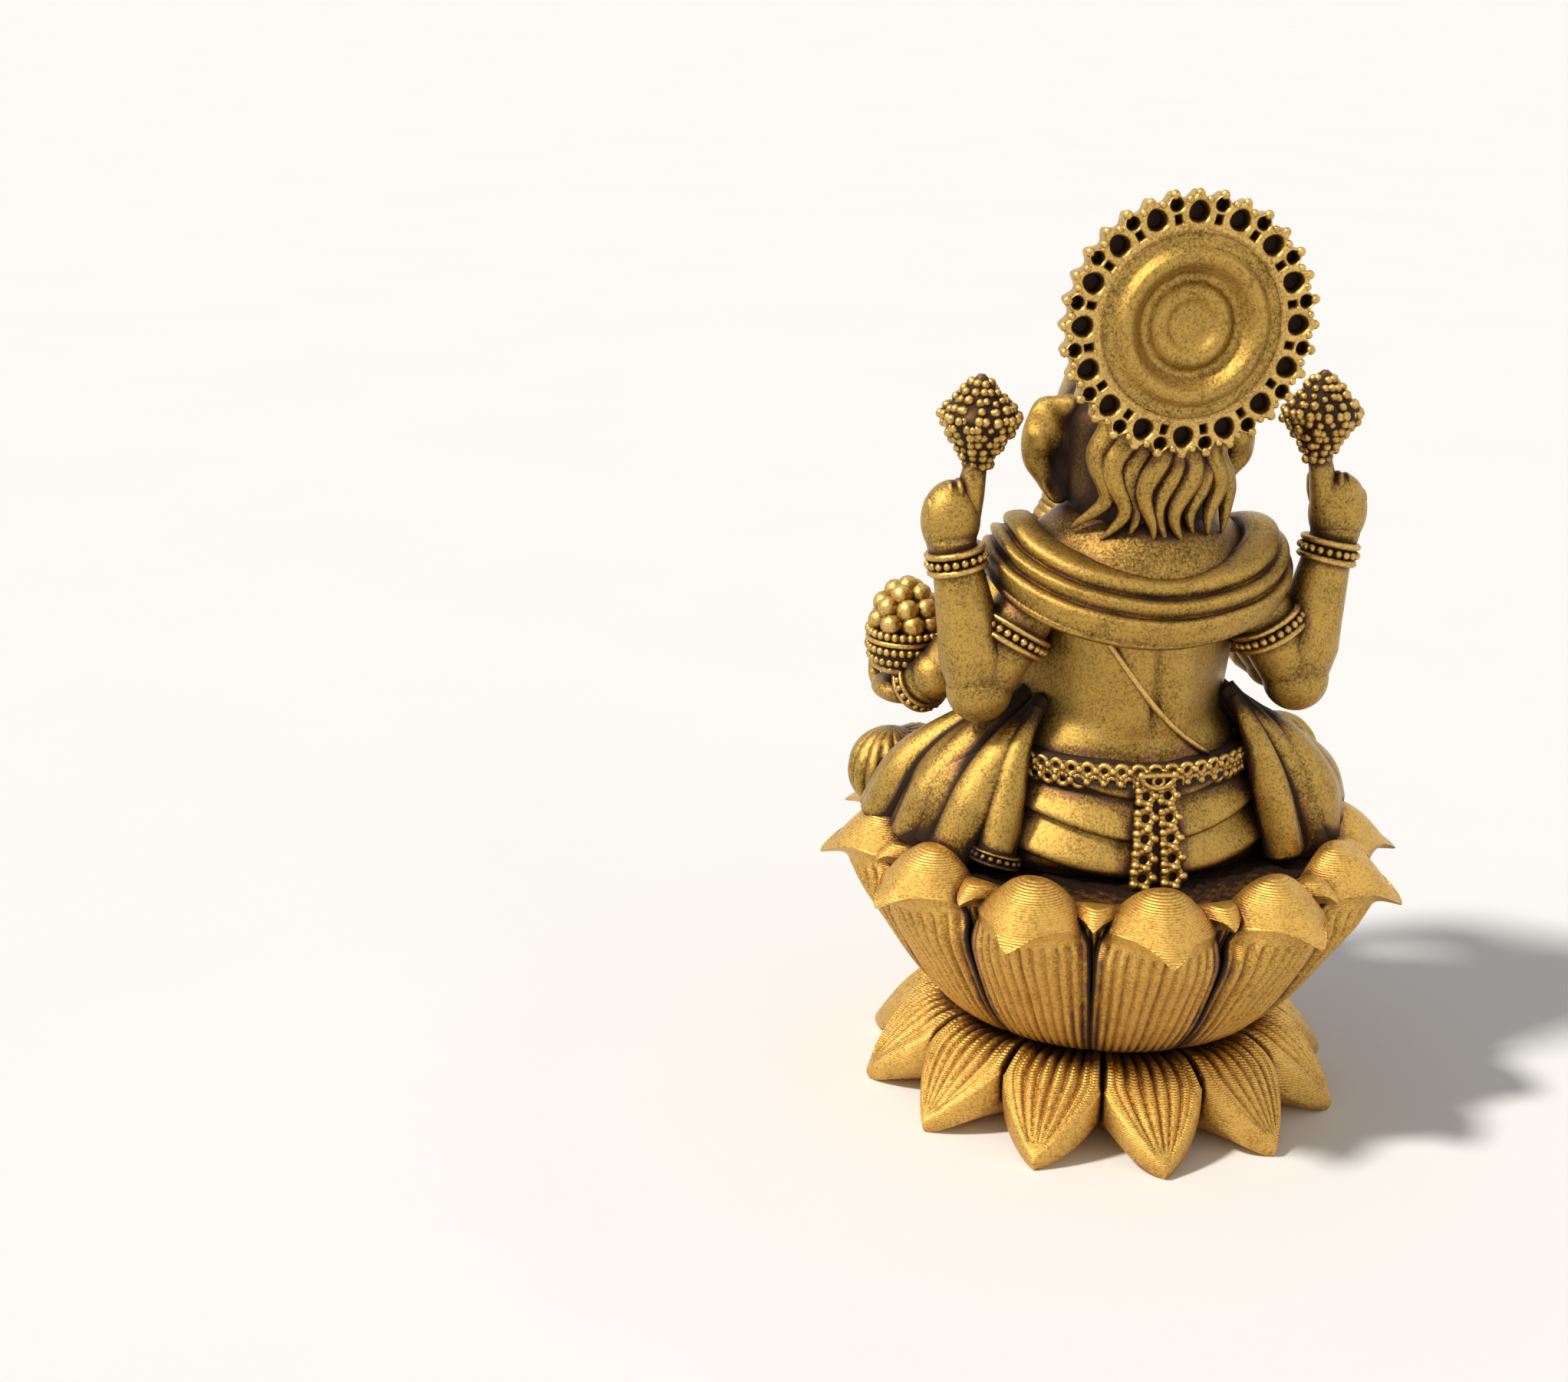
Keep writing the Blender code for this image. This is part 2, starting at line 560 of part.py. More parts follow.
REAR_ARM = ((9.3, 3.5, 42.3), (13.2, 4.2, 35.4), (15.6, 3.3, 46.6))
REAR_SIZES = (2.5, 2.4, 1.7)
LEFT_ARM = ((8.4, -2.2, 43.0), (14.8, -3.5, 34.9), (16.2, -6.2, 32.8))
RIGHT_ARM = ((8.4, -2.2, 43.0), (14.2, -3.7, 34.9), (10.7, -10.4, 38.2))
FRONT_SIZES = (2.3, 2.1, 1.6)
LEG = ((7.5, -3.0, 25.8), (17.2, -8.0, 25.2), (6.0, -13.9, 23.8))
LEG_SIZES = (4.0, 3.5, 1.9)
FOOT = ((6.2, -14.8, 23.5), (2.0, -15.8, 23.4))


def build_limbs():
    """Arms, legs, feet and the bands on them, with what the hands hold."""
    for name, side, front, palm, palm_size in (
        ("left", 1.0, LEFT_ARM, (16.6, -7.8, 32.4), (2.5, 2.9, 1.3)),
        ("right", -1.0, RIGHT_ARM, (9.9, -11.6, 41.6), (1.9, 1.1, 3.2)),
    ):
        rear_arm = name + "_rear_arm"
        add_limb(rear_arm, REAR_ARM, REAR_SIZES, side)
        add("fist", figure(mirrored(ball((15.8, 3.3, 50.3), (2.3, 2.1, 2.4)), side)))
        fuse(rear_arm, "fist")
        front_arm = name + "_front_arm"
        add_limb(front_arm, front, FRONT_SIZES, side)
        add("palm", figure(mirrored(ball(palm, palm_size), side)))
        fuse(front_arm, "palm")
        leg = name + "_leg"
        add_limb(leg, LEG, LEG_SIZES, side, 10)
        add(name + "_foot", figure(mirrored(limb(*FOOT, 1.8, 1.3), side)))
        add_band(name + "_rear_armlet", REAR_ARM[0], REAR_ARM[1], REAR_SIZES[0:2], 0.42, side, 1.7)
        add_band(name + "_rear_bracelet", REAR_ARM[1], REAR_ARM[2], REAR_SIZES[1:3], 0.9, side, 1.9)
        add_band(name + "_front_armlet", front[0], front[1], FRONT_SIZES[0:2], 0.55, side, 1.5)
        add_band(name + "_front_bracelet", front[1], front[2], FRONT_SIZES[1:3], 0.6, side, 1.2)
        add_band(name + "_anklet", LEG[1], LEG[2], LEG_SIZES[1:3], 0.87, side, 1.3)
        wide = BUD_RADIUS / FIGURE_SCALE
        bud = ((0.17, 52.5), (0.19, 53.4), (0.4, 54.2), (0.6, 55.1), (0.82, 56.1), (1.0, 57.1), (1.0, 57.7))
        bud += ((0.78, 58.7), (0.55, 59.5), (0.31, 60.3), (0.15, 60.8))
        bud = [(r * wide, z) for r, z in bud]
        add(name + "_bud", figure(turned(bud, 12, (13.9 * side, 3.0, 0.0))))

    wide = BOWL_RADIUS / FIGURE_SCALE
    middle = (16.5, -7.2, 0.0)
    bowl = ((0.5, 34.3), (0.66, 34.5), (0.9, 35.7), (1.0, 37.3), (1.0, 37.8), (0.88, 37.8), (0.82, 36.9), (0.5, 36.1))
    add("bowl", figure(turned([(r * wide, z) for r, z in bowl], 16, middle)))
    heap = ((0.4, 36.5), (0.68, 37.0), (0.74, 38.3), (0.7, 39.4), (0.55, 40.5), (0.36, 41.5), (0.15, 42.2))
    add("sweets", figure(turned([(r * wide, z) for r, z in heap], 12, middle)))


def cut_clearances():
    """Cuts inner pieces back from the ones that lie over them."""
    for name, obj in PIECES.items():
        WHOLE[name] = obj.data.copy()
    carve("hips", "fixing_stud", "seat_plate", "upper_lotus", "belt", "belt_tassel", "left_sash", "right_sash")
    carve("torso", "hips", "belt", "right_sash", "shawl")
    carve("head", "torso", "shawl")
    carve("crown", "head")
    carve("halo_post", "crown", "head")
    carve("hair", "head", "torso", "shawl", "halo_post")
    carve("trunk", "head")
    carve("necklace", "torso", "shawl")
    carve("sacred_thread_back", "torso", "shawl", "right_sash", "belt")
    carve("sacred_thread_front", "torso", "shawl", "belt", "necklace")
    for side in ("left", "right"):
        carve(side + "_ear", "head", "torso", "hair", "shawl", "crown")
        carve(side + "_tusk", "head", "trunk")
        carve(side + "_rear_arm", "torso", "shawl", side + "_bud", side + "_sash", "hips")
        carve(side + "_front_arm", "torso", "shawl", side + "_rear_arm", "bowl", "hips")
        carve(side + "_leg", "hips", "upper_lotus", "seat_plate", "belt", side + "_sash", side + "_front_arm")
        carve(side + "_foot", side + "_leg", "upper_lotus", "seat_plate")
        carve(side + "_anklet", side + "_leg", side + "_foot", "upper_lotus", "seat_plate")
        carve(side + "_rear_armlet", "torso", "shawl", side + "_rear_arm", side + "_front_arm")
        carve(side + "_front_armlet", "torso", "shawl", side + "_rear_arm", side + "_front_arm", side + "_rear_armlet")
        carve(side + "_front_bracelet", "bowl", side + "_leg", side + "_front_arm", side + "_front_armlet")
        carve(side + "_sash", "upper_lotus", "seat_plate", "belt")


GOLD = (0.62, 0.40, 0.10)
FINISHES = {
    "lower_lotus": ((0.52, 0.33, 0.09), 0.42, 1.0),
    "upper_lotus": ((0.56, 0.36, 0.09), 0.4, 1.0),
    "seat_plate": ((0.08, 0.05, 0.03), 0.7, 0.6),
    "fixing_stud": ((0.45, 0.45, 0.46), 0.35, 1.0),
    "fixing_washer": ((0.5, 0.5, 0.5), 0.35, 1.0),
    "fixing_nut": ((0.4, 0.4, 0.41), 0.35, 1.0),
    "hair": ((0.42, 0.26, 0.07), 0.5, 1.0),
    "halo_disc": ((0.6, 0.4, 0.12), 0.36, 1.0),
}


def colour_pieces():
    """Gives every piece a material of its own."""
    for name, obj in PIECES.items():
        colour, roughness, metallic = FINISHES.get(name, (GOLD, 0.38, 1.0))
        material = bpy.data.materials.new(name)
        material.use_nodes = True
        shader = material.node_tree.nodes["Principled BSDF"]
        shader.inputs["Base Color"].default_value = (*colour, 1.0)
        shader.inputs["Roughness"].default_value = roughness
        shader.inputs["Metallic"].default_value = metallic
        obj.data.materials.clear()
        obj.data.materials.append(material)


for old in list(bpy.data.objects):
    bpy.data.objects.remove(old)
build_base()
build_body()
build_head()
build_limbs()
cut_clearances()
colour_pieces()
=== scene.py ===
"""Dresses a packed statuette: a seated elephant-headed deity on a double lotus base.

All shapes are worked out in millimetres in the part's own frame: +Z is up, the figure
faces -Y and the ground is z = 0. Points become metres when a mesh is written.
"""

import logging
import math
from dataclasses import dataclass, field, replace
from enum import Enum
from typing import Iterable, Optional, Sequence

import bpy
import numpy as np
from mathutils import Matrix, Vector

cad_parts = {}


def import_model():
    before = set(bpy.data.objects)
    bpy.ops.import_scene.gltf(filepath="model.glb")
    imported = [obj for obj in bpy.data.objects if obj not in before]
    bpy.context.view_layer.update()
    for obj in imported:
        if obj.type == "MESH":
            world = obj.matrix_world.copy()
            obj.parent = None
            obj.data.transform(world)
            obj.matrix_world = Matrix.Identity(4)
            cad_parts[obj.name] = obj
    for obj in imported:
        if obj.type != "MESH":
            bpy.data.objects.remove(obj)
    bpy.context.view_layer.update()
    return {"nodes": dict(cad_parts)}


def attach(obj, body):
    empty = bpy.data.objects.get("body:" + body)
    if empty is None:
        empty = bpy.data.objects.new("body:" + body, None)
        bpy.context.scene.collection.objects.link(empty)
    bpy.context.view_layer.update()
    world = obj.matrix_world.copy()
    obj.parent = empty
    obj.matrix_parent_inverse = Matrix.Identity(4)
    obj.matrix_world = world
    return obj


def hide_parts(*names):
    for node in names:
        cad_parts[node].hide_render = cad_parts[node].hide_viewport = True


LOG = logging.getLogger("statuette")
MM = 0.001
TURN = 2.0 * math.pi
BACK = (0.0, 1.0, 0.0)
UPRIGHT = (0.0, 0.0, 1.0)
Array = np.ndarray
Number = Array | float
Row = Sequence[float]


class Side(Enum):
    """The figure's own sides, as the sign of x."""

    LEFT = 1.0
    RIGHT = -1.0

    @property
    def word(self) -> str:
        """The side's name as the nodes spell it."""
        return self.name.lower()

    def turn(self, points: Sequence) -> Array:
        """Points drawn on the left, moved to this side."""
        return np.asarray(points, float) * np.array([self.value, 1.0, 1.0])


@dataclass
class Shell:
    """Points, faces and groove depth of one or more closed surfaces, in millimetres; the groove depth carries
    painted shade as well as carving.
    """

    points: Array
    quads: Array
    tris: Array
    groove: Array

    def outward(self) -> "Shell":
        """Returns the shell with its faces turned outwards, judged by its signed volume."""
        split = np.vstack([self.quads[:, [0, 1, 2]], self.quads[:, [0, 2, 3]], self.tris])
        a, b, c = (self.points[split[:, i]] for i in range(3))
        if np.einsum("ij,ij->", a, np.cross(b, c)) < 0:
            return replace(self, quads=self.quads[:, ::-1], tris=self.tris[:, ::-1])
        return self

    def mirrored(self, side: Side) -> "Shell":
        """Returns the shell on the given side of the figure."""
        return replace(self, points=side.turn(self.points)).outward()

    def shaded(self, depth: float) -> "Shell":
        """Returns the shell with one groove depth all over."""
        return replace(self, groove=np.full(len(self.points), depth))


def lattice(points: Array, rows_close: bool = False, groove: Number = 0.0) -> Shell:
    """A closed surface on a grid whose columns always close.

    Args:
        points: (rows, columns, 3) grid points.
        rows_close: whether the last row joins the first; if not, fans close both ends.
        groove: depth of carving at each grid point, from 0 to 1, and painted shade in places.

    Returns:
        The surface with its faces outwards.
    """
    rows, columns = points.shape[:2]
    index = np.arange(rows * columns).reshape(rows, columns)
    lower = index if rows_close else index[:-1]
    upper = np.roll(index, -1, axis=0) if rows_close else index[1:]
    quads = np.stack([lower, np.roll(lower, -1, 1), np.roll(upper, -1, 1), upper], axis=-1).reshape(-1, 4)
    flat = points.reshape(-1, 3)
    depth = np.broadcast_to(groove, (rows, columns)).ravel()
    tris = np.zeros((0, 3), int)
    if not rows_close:
        hubs = np.array([points[0].mean(axis=0), points[-1].mean(axis=0)])
        first, last = index[0], index[-1]
        low = np.stack([np.roll(first, -1), first, np.full(columns, len(flat))], axis=-1)
        high = np.stack([last, np.roll(last, -1), np.full(columns, len(flat) + 1)], axis=-1)
        tris = np.vstack([low, high])
        flat = np.vstack([flat, hubs])
        depth = np.concatenate([depth, depth[[0, -1]]])
    return Shell(flat, quads, tris, depth).outward()


def merge(shells: Iterable[Shell]) -> Shell:
    """Joins shells into one, with their faces renumbered.

    Args:
        shells: the shells.

    Returns:
        One shell that holds them all.
    """
    shells = list(shells)
    starts = np.cumsum([0] + [len(s.points) for s in shells[:-1]])
    return Shell(
        np.vstack([s.points for s in shells]),
        np.vstack([s.quads + n for s, n in zip(shells, starts)]),
        np.vstack([s.tris + n for s, n in zip(shells, starts)]),
        np.concatenate([s.groove for s in shells]),
    )


def copies(shell: Shell, places: Sequence, sizes: Number, frames: Optional[Array] = None) -> Shell:
    """Many copies of a shell: place + size * frame @ point.

    Args:
        shell: the shape to repeat.
        places: (n, 3) centres.
        sizes: one size, or n sizes.
        frames: (n, 3, 3) turned axes as columns, or None for no turning.

    Returns:
        All the copies as one shell.
    """
    places = np.asarray(places, float)
    count = len(places)
    sizes = np.broadcast_to(np.asarray(sizes, float), count)
    points = np.broadcast_to(shell.points, (count, *shell.points.shape))
    if frames is not None:
        points = np.einsum("nij,nkj->nki", frames, points)
    points = points * sizes[:, None, None] + places[:, None]
    step = np.arange(count)[:, None, None] * len(shell.points)
    return Shell(
        points.reshape(-1, 3),
        (shell.quads[None] + step).reshape(-1, 4),
        (shell.tris[None] + step).reshape(-1, 3),
        np.tile(shell.groove, count),
    )


def xyz(x: Number, y: Number, z: Number) -> Array:
    """Points from coordinates that are spread over each other's shape."""
    return np.stack(np.broadcast_arrays(x, y, z), axis=-1)


def steps(count: int) -> Array:
    """Angles of a full turn, without the last."""
    return np.linspace(0.0, TURN, count, endpoint=False)


def circle(radius: Number, height: Number, turn: Array, centre: Row = (0.0, 0.0)) -> Array:
    """Points at angles round an upright line through the centre's x and y."""
    return xyz(centre[0] + radius * np.cos(turn), centre[1] + radius * np.sin(turn), height)


def through(points: Sequence, count: int) -> Array:
    """A Catmull-Rom curve through points, read at count even steps of its parameter.

    Args:
        points: (n, k) points.
        count: rows to read.

    Returns:
        The (count, k) points of the curve.
    """
    points = np.asarray(points, float)
    padded = np.vstack([2 * points[0] - points[1], points, 2 * points[-1] - points[-2]])
    place = np.linspace(0.0, len(points) - 1.0, count)
    first = np.minimum(place.astype(int), len(points) - 2)
    t = (place - first)[:, None]
    a, b, c, d = (padded[first + i] for i in range(4))
    return 0.5 * (2 * b + (c - a) * t + (2 * a - 5 * b + 4 * c - d) * t**2 + (3 * b - a - 3 * c + d) * t**3)


def ramp(value: Array, low: float, high: float) -> Array:
    """A smooth step from 0 at low to 1 at high."""
    t = np.clip((value - low) / (high - low), 0.0, 1.0)
    return t * t * (3.0 - 2.0 * t)


def bell(value: Array, width: float) -> Array:
    """A Gaussian bump: exp(-(value / width)^2)."""
    return np.exp(-((value / width) ** 2))


def ribs(place: Array, count: float, sharp: float) -> Array:
    """Rounded ribs over place -1 to 1: |sin| raised to a power, 0 in the grooves and 1 on the ribs."""
    return np.abs(np.sin(math.pi * count * (place + 1.0) / 2.0)) ** sharp


def wobble(points: Array, size: float, seed: float = 0.0) -> Array:
    """Uneven hand-work: a sum of two products of sines over the points, between -1 and 1.

    Args:
        points: where to read it.
        size: length of a wave.
        seed: shift of the waves.

    Returns:
        A value for each point.
    """
    x, y, z = (points[..., i] / size for i in range(3))
    first = np.sin(2.1 * x + 1.3 * z + seed) * np.sin(1.7 * y - 0.8 * z + 2.0 * seed)
    second = np.sin(3.9 * z - 2.2 * x + 3.0 * seed) * np.sin(3.1 * y + 1.9 * x)
    return 0.6 * first + 0.4 * second


def path_axes(path: Array, up: Row) -> tuple[Array, Array]:
    """Side and lift directions square to a path, from a rough up direction.

    Args:
        path: (n, 3) middle line.
        up: rough direction of the lift.

    Returns:
        Two (n, 3) arrays of unit vectors.
    """
    ahead = np.gradient(path, axis=0)
    side = np.cross(ahead, np.asarray(up, float))
    side /= np.linalg.norm(side, axis=1, keepdims=True)
    lift = np.cross(side, ahead)
    lift /= np.linalg.norm(lift, axis=1, keepdims=True)
    return side, lift


def sweep(
    path: Array,
    across: Number,
    along: Number,
    up: Row = UPRIGHT,
    around: int = 24,
    relief: Number = 1.0,
    groove: Number = 0.0,
) -> Shell:
    """A profile carried along a path: path + across * cos * side + along * sin * lift.

    Args:
        path: (n, 3) middle line.
        across: half-size along the side direction, one value or n.
        along: half-size along the lift direction, one value or n.
        up: rough direction of the lift.
        around: points in the profile.
        relief: factor on the profile at each (n, around) point.
        groove: carving depth at each (n, around) point, and painted shade in places.

    Returns:
        The closed tube.
    """
    side, lift = path_axes(path, up)
    turn = steps(around)[None, :, None]
    wide = np.broadcast_to(np.asarray(across, float), len(path))[:, None, None]
    tall = np.broadcast_to(np.asarray(along, float), len(path))[:, None, None]
    offset = np.cos(turn) * wide * side[:, None] + np.sin(turn) * tall * lift[:, None]
    return lattice(path[:, None] + offset * np.asarray(relief)[..., None], groove=groove)


def rounded(count: int, start: float, end: float, cap: float) -> Array:
    """Tapering radii whose ends close as quarter ellipses over the cap share of the length.

    Args:
        count: radii.
        start: radius near the start.
        end: radius near the end.
        cap: share that each end takes.

    Returns:
        The radii.
    """
    t = np.linspace(0.0, 1.0, count)
    edge = np.clip(np.minimum(t, 1.0 - t) / cap, 0.0, 1.0)
    return (start + (end - start) * t) * np.sqrt(np.maximum(1.0 - (1.0 - edge) ** 2, 0.01))


def lathe(profile: Array, around: int, centre: Row, axis: str = "z") -> Shell:
    """A turned shape: each (radius, place) of the profile goes round the axis.

    Args:
        profile: (n, 2) radius and place along the axis.
        around: points round the axis.
        centre: point that the profile's places are measured from.
        axis: "z" for upright work or "y" for a disc that faces the back.

    Returns:
        The closed turned shape.
    """
    points = circle(profile[:, 0, None], profile[:, 1, None], steps(around))
    if axis == "y":
        points = points[..., [0, 2, 1]]
    return lattice(points + np.asarray(centre, float))


def level_rings(table: Sequence, rows: int, around: int) -> tuple[Array, Array, Array]:
    """Level ovals through rows of (z, half-width, half-depth, middle y).

    Args:
        table: the rows.
        rows: ovals to read between them.
        around: points round an oval.

    Returns:
        The (rows, around, 3) points, the heights of the rows and the angles round them.
    """
    height, wide, deep, middle = through(table, rows).T[:, :, None]
    turn = steps(around)
    return xyz(wide * np.cos(turn), middle + deep * np.sin(turn), height), height[:, 0], turn


def ball(around: int, rows: int) -> Shell:
    """A unit ball from rows of latitude."""
    tilt = np.linspace(-0.46 * math.pi, 0.46 * math.pi, rows)
    return lathe(np.stack([np.cos(tilt), np.sin(tilt)], axis=1), around, (0.0, 0.0, 0.0))


def beads(places: Sequence, sizes: Number, around: int = 8, rows: int = 5) -> Shell:
    """Balls of one or more sizes at places."""
    return copies(ball(around, rows), places, sizes)


def blob(centre: Row, sizes: Row, around: int = 36, rows: int = 24) -> Shell:
    """An ellipsoid with half-sizes in x, y and z."""
    unit = ball(around, rows)
    return replace(unit, points=unit.points * np.asarray(sizes, float) + np.asarray(centre, float))


def hoop(major: float, minor: float, around: int, section: int) -> Shell:
    """A ring of round wire lying square to the third axis.

    Args:
        major: radius of the ring.
        minor: radius of the wire.
        around: points round the ring.
        section: points round the wire.

    Returns:
        The closed ring.
    """
    bend = steps(section)
    points = circle(major + minor * np.cos(bend), minor * np.sin(bend), steps(around)[:, None])
    return lattice(points, rows_close=True)


def facing(normals: Array, up: Row = UPRIGHT) -> Array:
    """Turned axes (n, 3, 3) whose third column is each normal and whose second leans to up.

    Args:
        normals: (n, 3) directions.
        up: rough direction of the second column.

    Returns:
        The turned axes.
    """
    third = normals / np.linalg.norm(normals, axis=1, keepdims=True)
    first = np.cross(np.asarray(up, float), third)
    first /= np.linalg.norm(first, axis=1, keepdims=True)
    return np.stack([first, np.cross(third, first), third], axis=-1)


class Wire:
    """A shader value: Python operators on it add Math nodes."""

    def __init__(self, graph: "Graph", socket: bpy.types.NodeSocket) -> None:
        """Keeps the graph and the output socket."""
        self.graph = graph
        self.socket = socket

    def __add__(self, other: object) -> "Wire":
        """Adds."""
        return self.graph.math("ADD", self, other)

    def __mul__(self, other: object) -> "Wire":
        """Multiplies."""
        return self.graph.math("MULTIPLY", self, other)

    def __sub__(self, other: object) -> "Wire":
        """Subtracts."""
        return self.graph.math("SUBTRACT", self, other)

    def __rsub__(self, other: object) -> "Wire":
        """Subtracts from a number."""
        return self.graph.math("SUBTRACT", other, self)

    def clamped(self) -> "Wire":
        """Holds the value between 0 and 1."""
        return self.graph.math("ADD", self, 0.0, True)

    def between(self, low: float, high: float) -> "Wire":
        """A smooth step from 0 at low to 1 at high."""
        inputs = {"Value": self, "From Min": low, "From Max": high}
        return self.graph.node("ShaderNodeMapRange", {"interpolation_type": "SMOOTHSTEP"}, inputs)


class Graph:
    """The node tree of one material or world."""

    def __init__(self, owner: bpy.types.ID, shader: str = "Principled BSDF") -> None:
        """Starts the owner's nodes, which come with the named shader and an output."""
        owner.use_nodes = True
        self.owner = owner
        self.tree = owner.node_tree
        self.shader = self.tree.nodes[shader]

    def plug(self, socket: bpy.types.NodeSocket, value: object) -> None:
        """Links a wire to a socket, or sets the socket's own value.

        Args:
            socket: the input.
            value: a wire, or a value for the socket.
        """
        if isinstance(value, Wire):
            self.tree.links.new(value.socket, socket)
        else:
            socket.default_value = value

    def finish(self, **values: object) -> bpy.types.ID:
        """Plugs values into the shader's sockets, named with _ for a space, and returns the owner.

        Args:
            values: wires or values by socket.

        Returns:
            The material or world.
        """
        for name, value in values.items():
            self.plug(self.shader.inputs[name.replace("_", " ")], value)
        return self.owner

    def node(self, kind: str, settings: dict, inputs: dict, output: int | str = 0) -> Wire:
        """Adds a node.

        Args:
            kind: the node's type name.
            settings: attributes, set first.
            inputs: values or wires by socket name or number.
            output: the output socket's name or number.

        Returns:
            The output of the new node.
        """
        node = self.tree.nodes.new(kind)
        for name, value in settings.items():
            setattr(node, name, value)
        for name, value in inputs.items():
            self.plug(node.inputs[name], value)
        return Wire(self, node.outputs[output])

    def math(self, operation: str, a: object, b: object, clamp: bool = False) -> Wire:
        """One Math node."""
        return self.node("ShaderNodeMath", {"operation": operation, "use_clamp": clamp}, {0: a, 1: b})

    def blend(self, share: object, first: object, second: object) -> Wire:
        """Mixes two colours by a share."""
        return self.node("ShaderNodeMix", {"data_type": "RGBA"}, {0: share, 6: first, 7: second}, 2)

    def place(self) -> Wire:
        """Object coordinates in millimetres."""
        metres = self.node("ShaderNodeTexCoord", {}, {}, "Object")
        return self.node("ShaderNodeVectorMath", {"operation": "SCALE"}, {0: metres, "Scale": 1.0 / MM})

    def noise(self, place: Wire, scale: float, detail: float = 3.0, rough: float = 0.55) -> Wire:
        """Cloud noise of a scale per millimetre, around 0.5."""
        inputs = {"Vector": place, "Scale": scale, "Detail": detail, "Roughness": rough}
        return self.node("ShaderNodeTexNoise", {}, inputs)


def colour(red: float, green: float, blue: float) -> tuple[float, float, float, float]:
    """A linear colour with full alpha."""
    return (red, green, blue, 1.0)


@dataclass(frozen=True)
class GoldFinish:
    """Antique gold: bright worn metal, dark patina and painted shade in the recesses and a fine cast grain.
    """

    name: str
    slot: str
    bright: tuple = colour(0.52, 0.32, 0.07)
    body: tuple = colour(0.08, 0.037, 0.006)
    patina: tuple = colour(0.03, 0.014, 0.006)
    oxide: tuple = colour(0.2, 0.07, 0.05)
    roughness: float = 0.4
    metal: float = 1.0
    dirt: float = 1.0
    stain: float = 0.3
    layers: float = 0.0
    layer_pitch: float = 0.15
    grain: float = 1.0
    bump: float = 0.8

    def build(self) -> bpy.types.Material:
        """Builds the nodes: patina and painted shade follow the recess attribute, broken up by noise.

        Returns:
            The material.
        """
        graph = Graph(bpy.data.materials.new(self.name))
        place = graph.place()
        recess = graph.node("ShaderNodeAttribute", {"attribute_name": "recess"}, {}, "Fac")
        grain = graph.noise(place, 4.6, 5.0, 0.8)
        patch = graph.noise(place, 0.45, 5.0, 0.6)
        fleck = graph.noise(place, 2.6, 5.0, 0.7)
        # The recess attribute holds carved grooves with their patina and the painted shade of crowded
        # surfaces; the noise adds real stains.
        amount = recess * self.dirt + (patch - 0.5) * (1.2 * self.stain) + (fleck - 0.5) * (1.3 * self.stain)
        dirt = amount.between(0.36, 0.74)
        worn = (grain * 1.4 + fleck * 0.35 + patch * 0.35 - recess * 0.5 - 0.2).between(0.48, 1.0)
        tint = amount.between(0.18, 0.42) * patch.between(0.44, 0.6) * 0.6
        tinted = graph.blend(tint, graph.blend(worn, self.body, self.bright), self.oxide)
        height = grain * (0.045 * self.grain) + fleck * (0.05 * self.grain) - dirt * 0.02
        if self.layers:
            height = height + self.layer_lines(graph, place) * (0.03 * self.layers)
        bump = graph.node("ShaderNodeBump", {}, {"Strength": self.bump, "Distance": MM, "Height": height})
        return graph.finish(
            # Where this mask is high the colour goes to the dark patina colour: patina together with painted
            # shade.
            Base_Color=graph.blend(dirt, tinted, self.patina),
            Roughness=((grain - 0.5) * 0.45 + dirt * 0.25 + self.roughness).clamped(),
            Metallic=self.metal - dirt * 0.3,
            Normal=bump,
        )

    def layer_lines(self, graph: Graph, place: Wire) -> Wire:
        """Contour lines of the master, drawn further apart in height than they are so that they show."""
        height = graph.node("ShaderNodeSeparateXYZ", {}, {0: place}, "Z")
        return graph.math("PINGPONG", height, self.layer_pitch / 2) * 13.0


@dataclass(frozen=True)
class SteelFinish:
    """Plain turned steel of the hidden fixing, a little uneven."""

    name: str
    slot: str
    dark: tuple = colour(0.3, 0.3, 0.31)
    light: tuple = colour(0.55, 0.55, 0.56)

    def build(self) -> bpy.types.Material:
        """Builds the nodes: one fine noise varies both the grey and the gloss."""
        graph = Graph(bpy.data.materials.new(self.name))
        wear = graph.noise(graph.place(), 5.0, 4.0, 0.7)
        grey = graph.blend(wear, self.dark, self.light)
        return graph.finish(Base_Color=grey, Roughness=wear * 0.3 + 0.25, Metallic=1.0)


BASE_GOLD = GoldFinish(
    "base_gold",
    "gold_base",
    bright=colour(0.78, 0.47, 0.11),
    body=colour(0.29, 0.125, 0.014),
    roughness=0.36,
    metal=0.85,
    stain=0.35,
    layers=1.5,
)
FIGURE_GOLD = GoldFinish("figure_gold", "gold_figure", roughness=0.35, metal=0.85)
ORNAMENT_GOLD = GoldFinish(
    "ornament_gold",
    "gold_ornament",
    bright=colour(0.72, 0.48, 0.15),
    body=colour(0.24, 0.126, 0.023),
    roughness=0.38,
    grain=0.5,
)
SEAT_PATINA = GoldFinish(
    "seat_patina",
    "patina_seat",
    bright=colour(0.5, 0.28, 0.09),
    body=colour(0.16, 0.08, 0.03),
    dirt=1.4,
    stain=0.9,
)
STEEL = SteelFinish("fixing_steel", "fixing_steel")


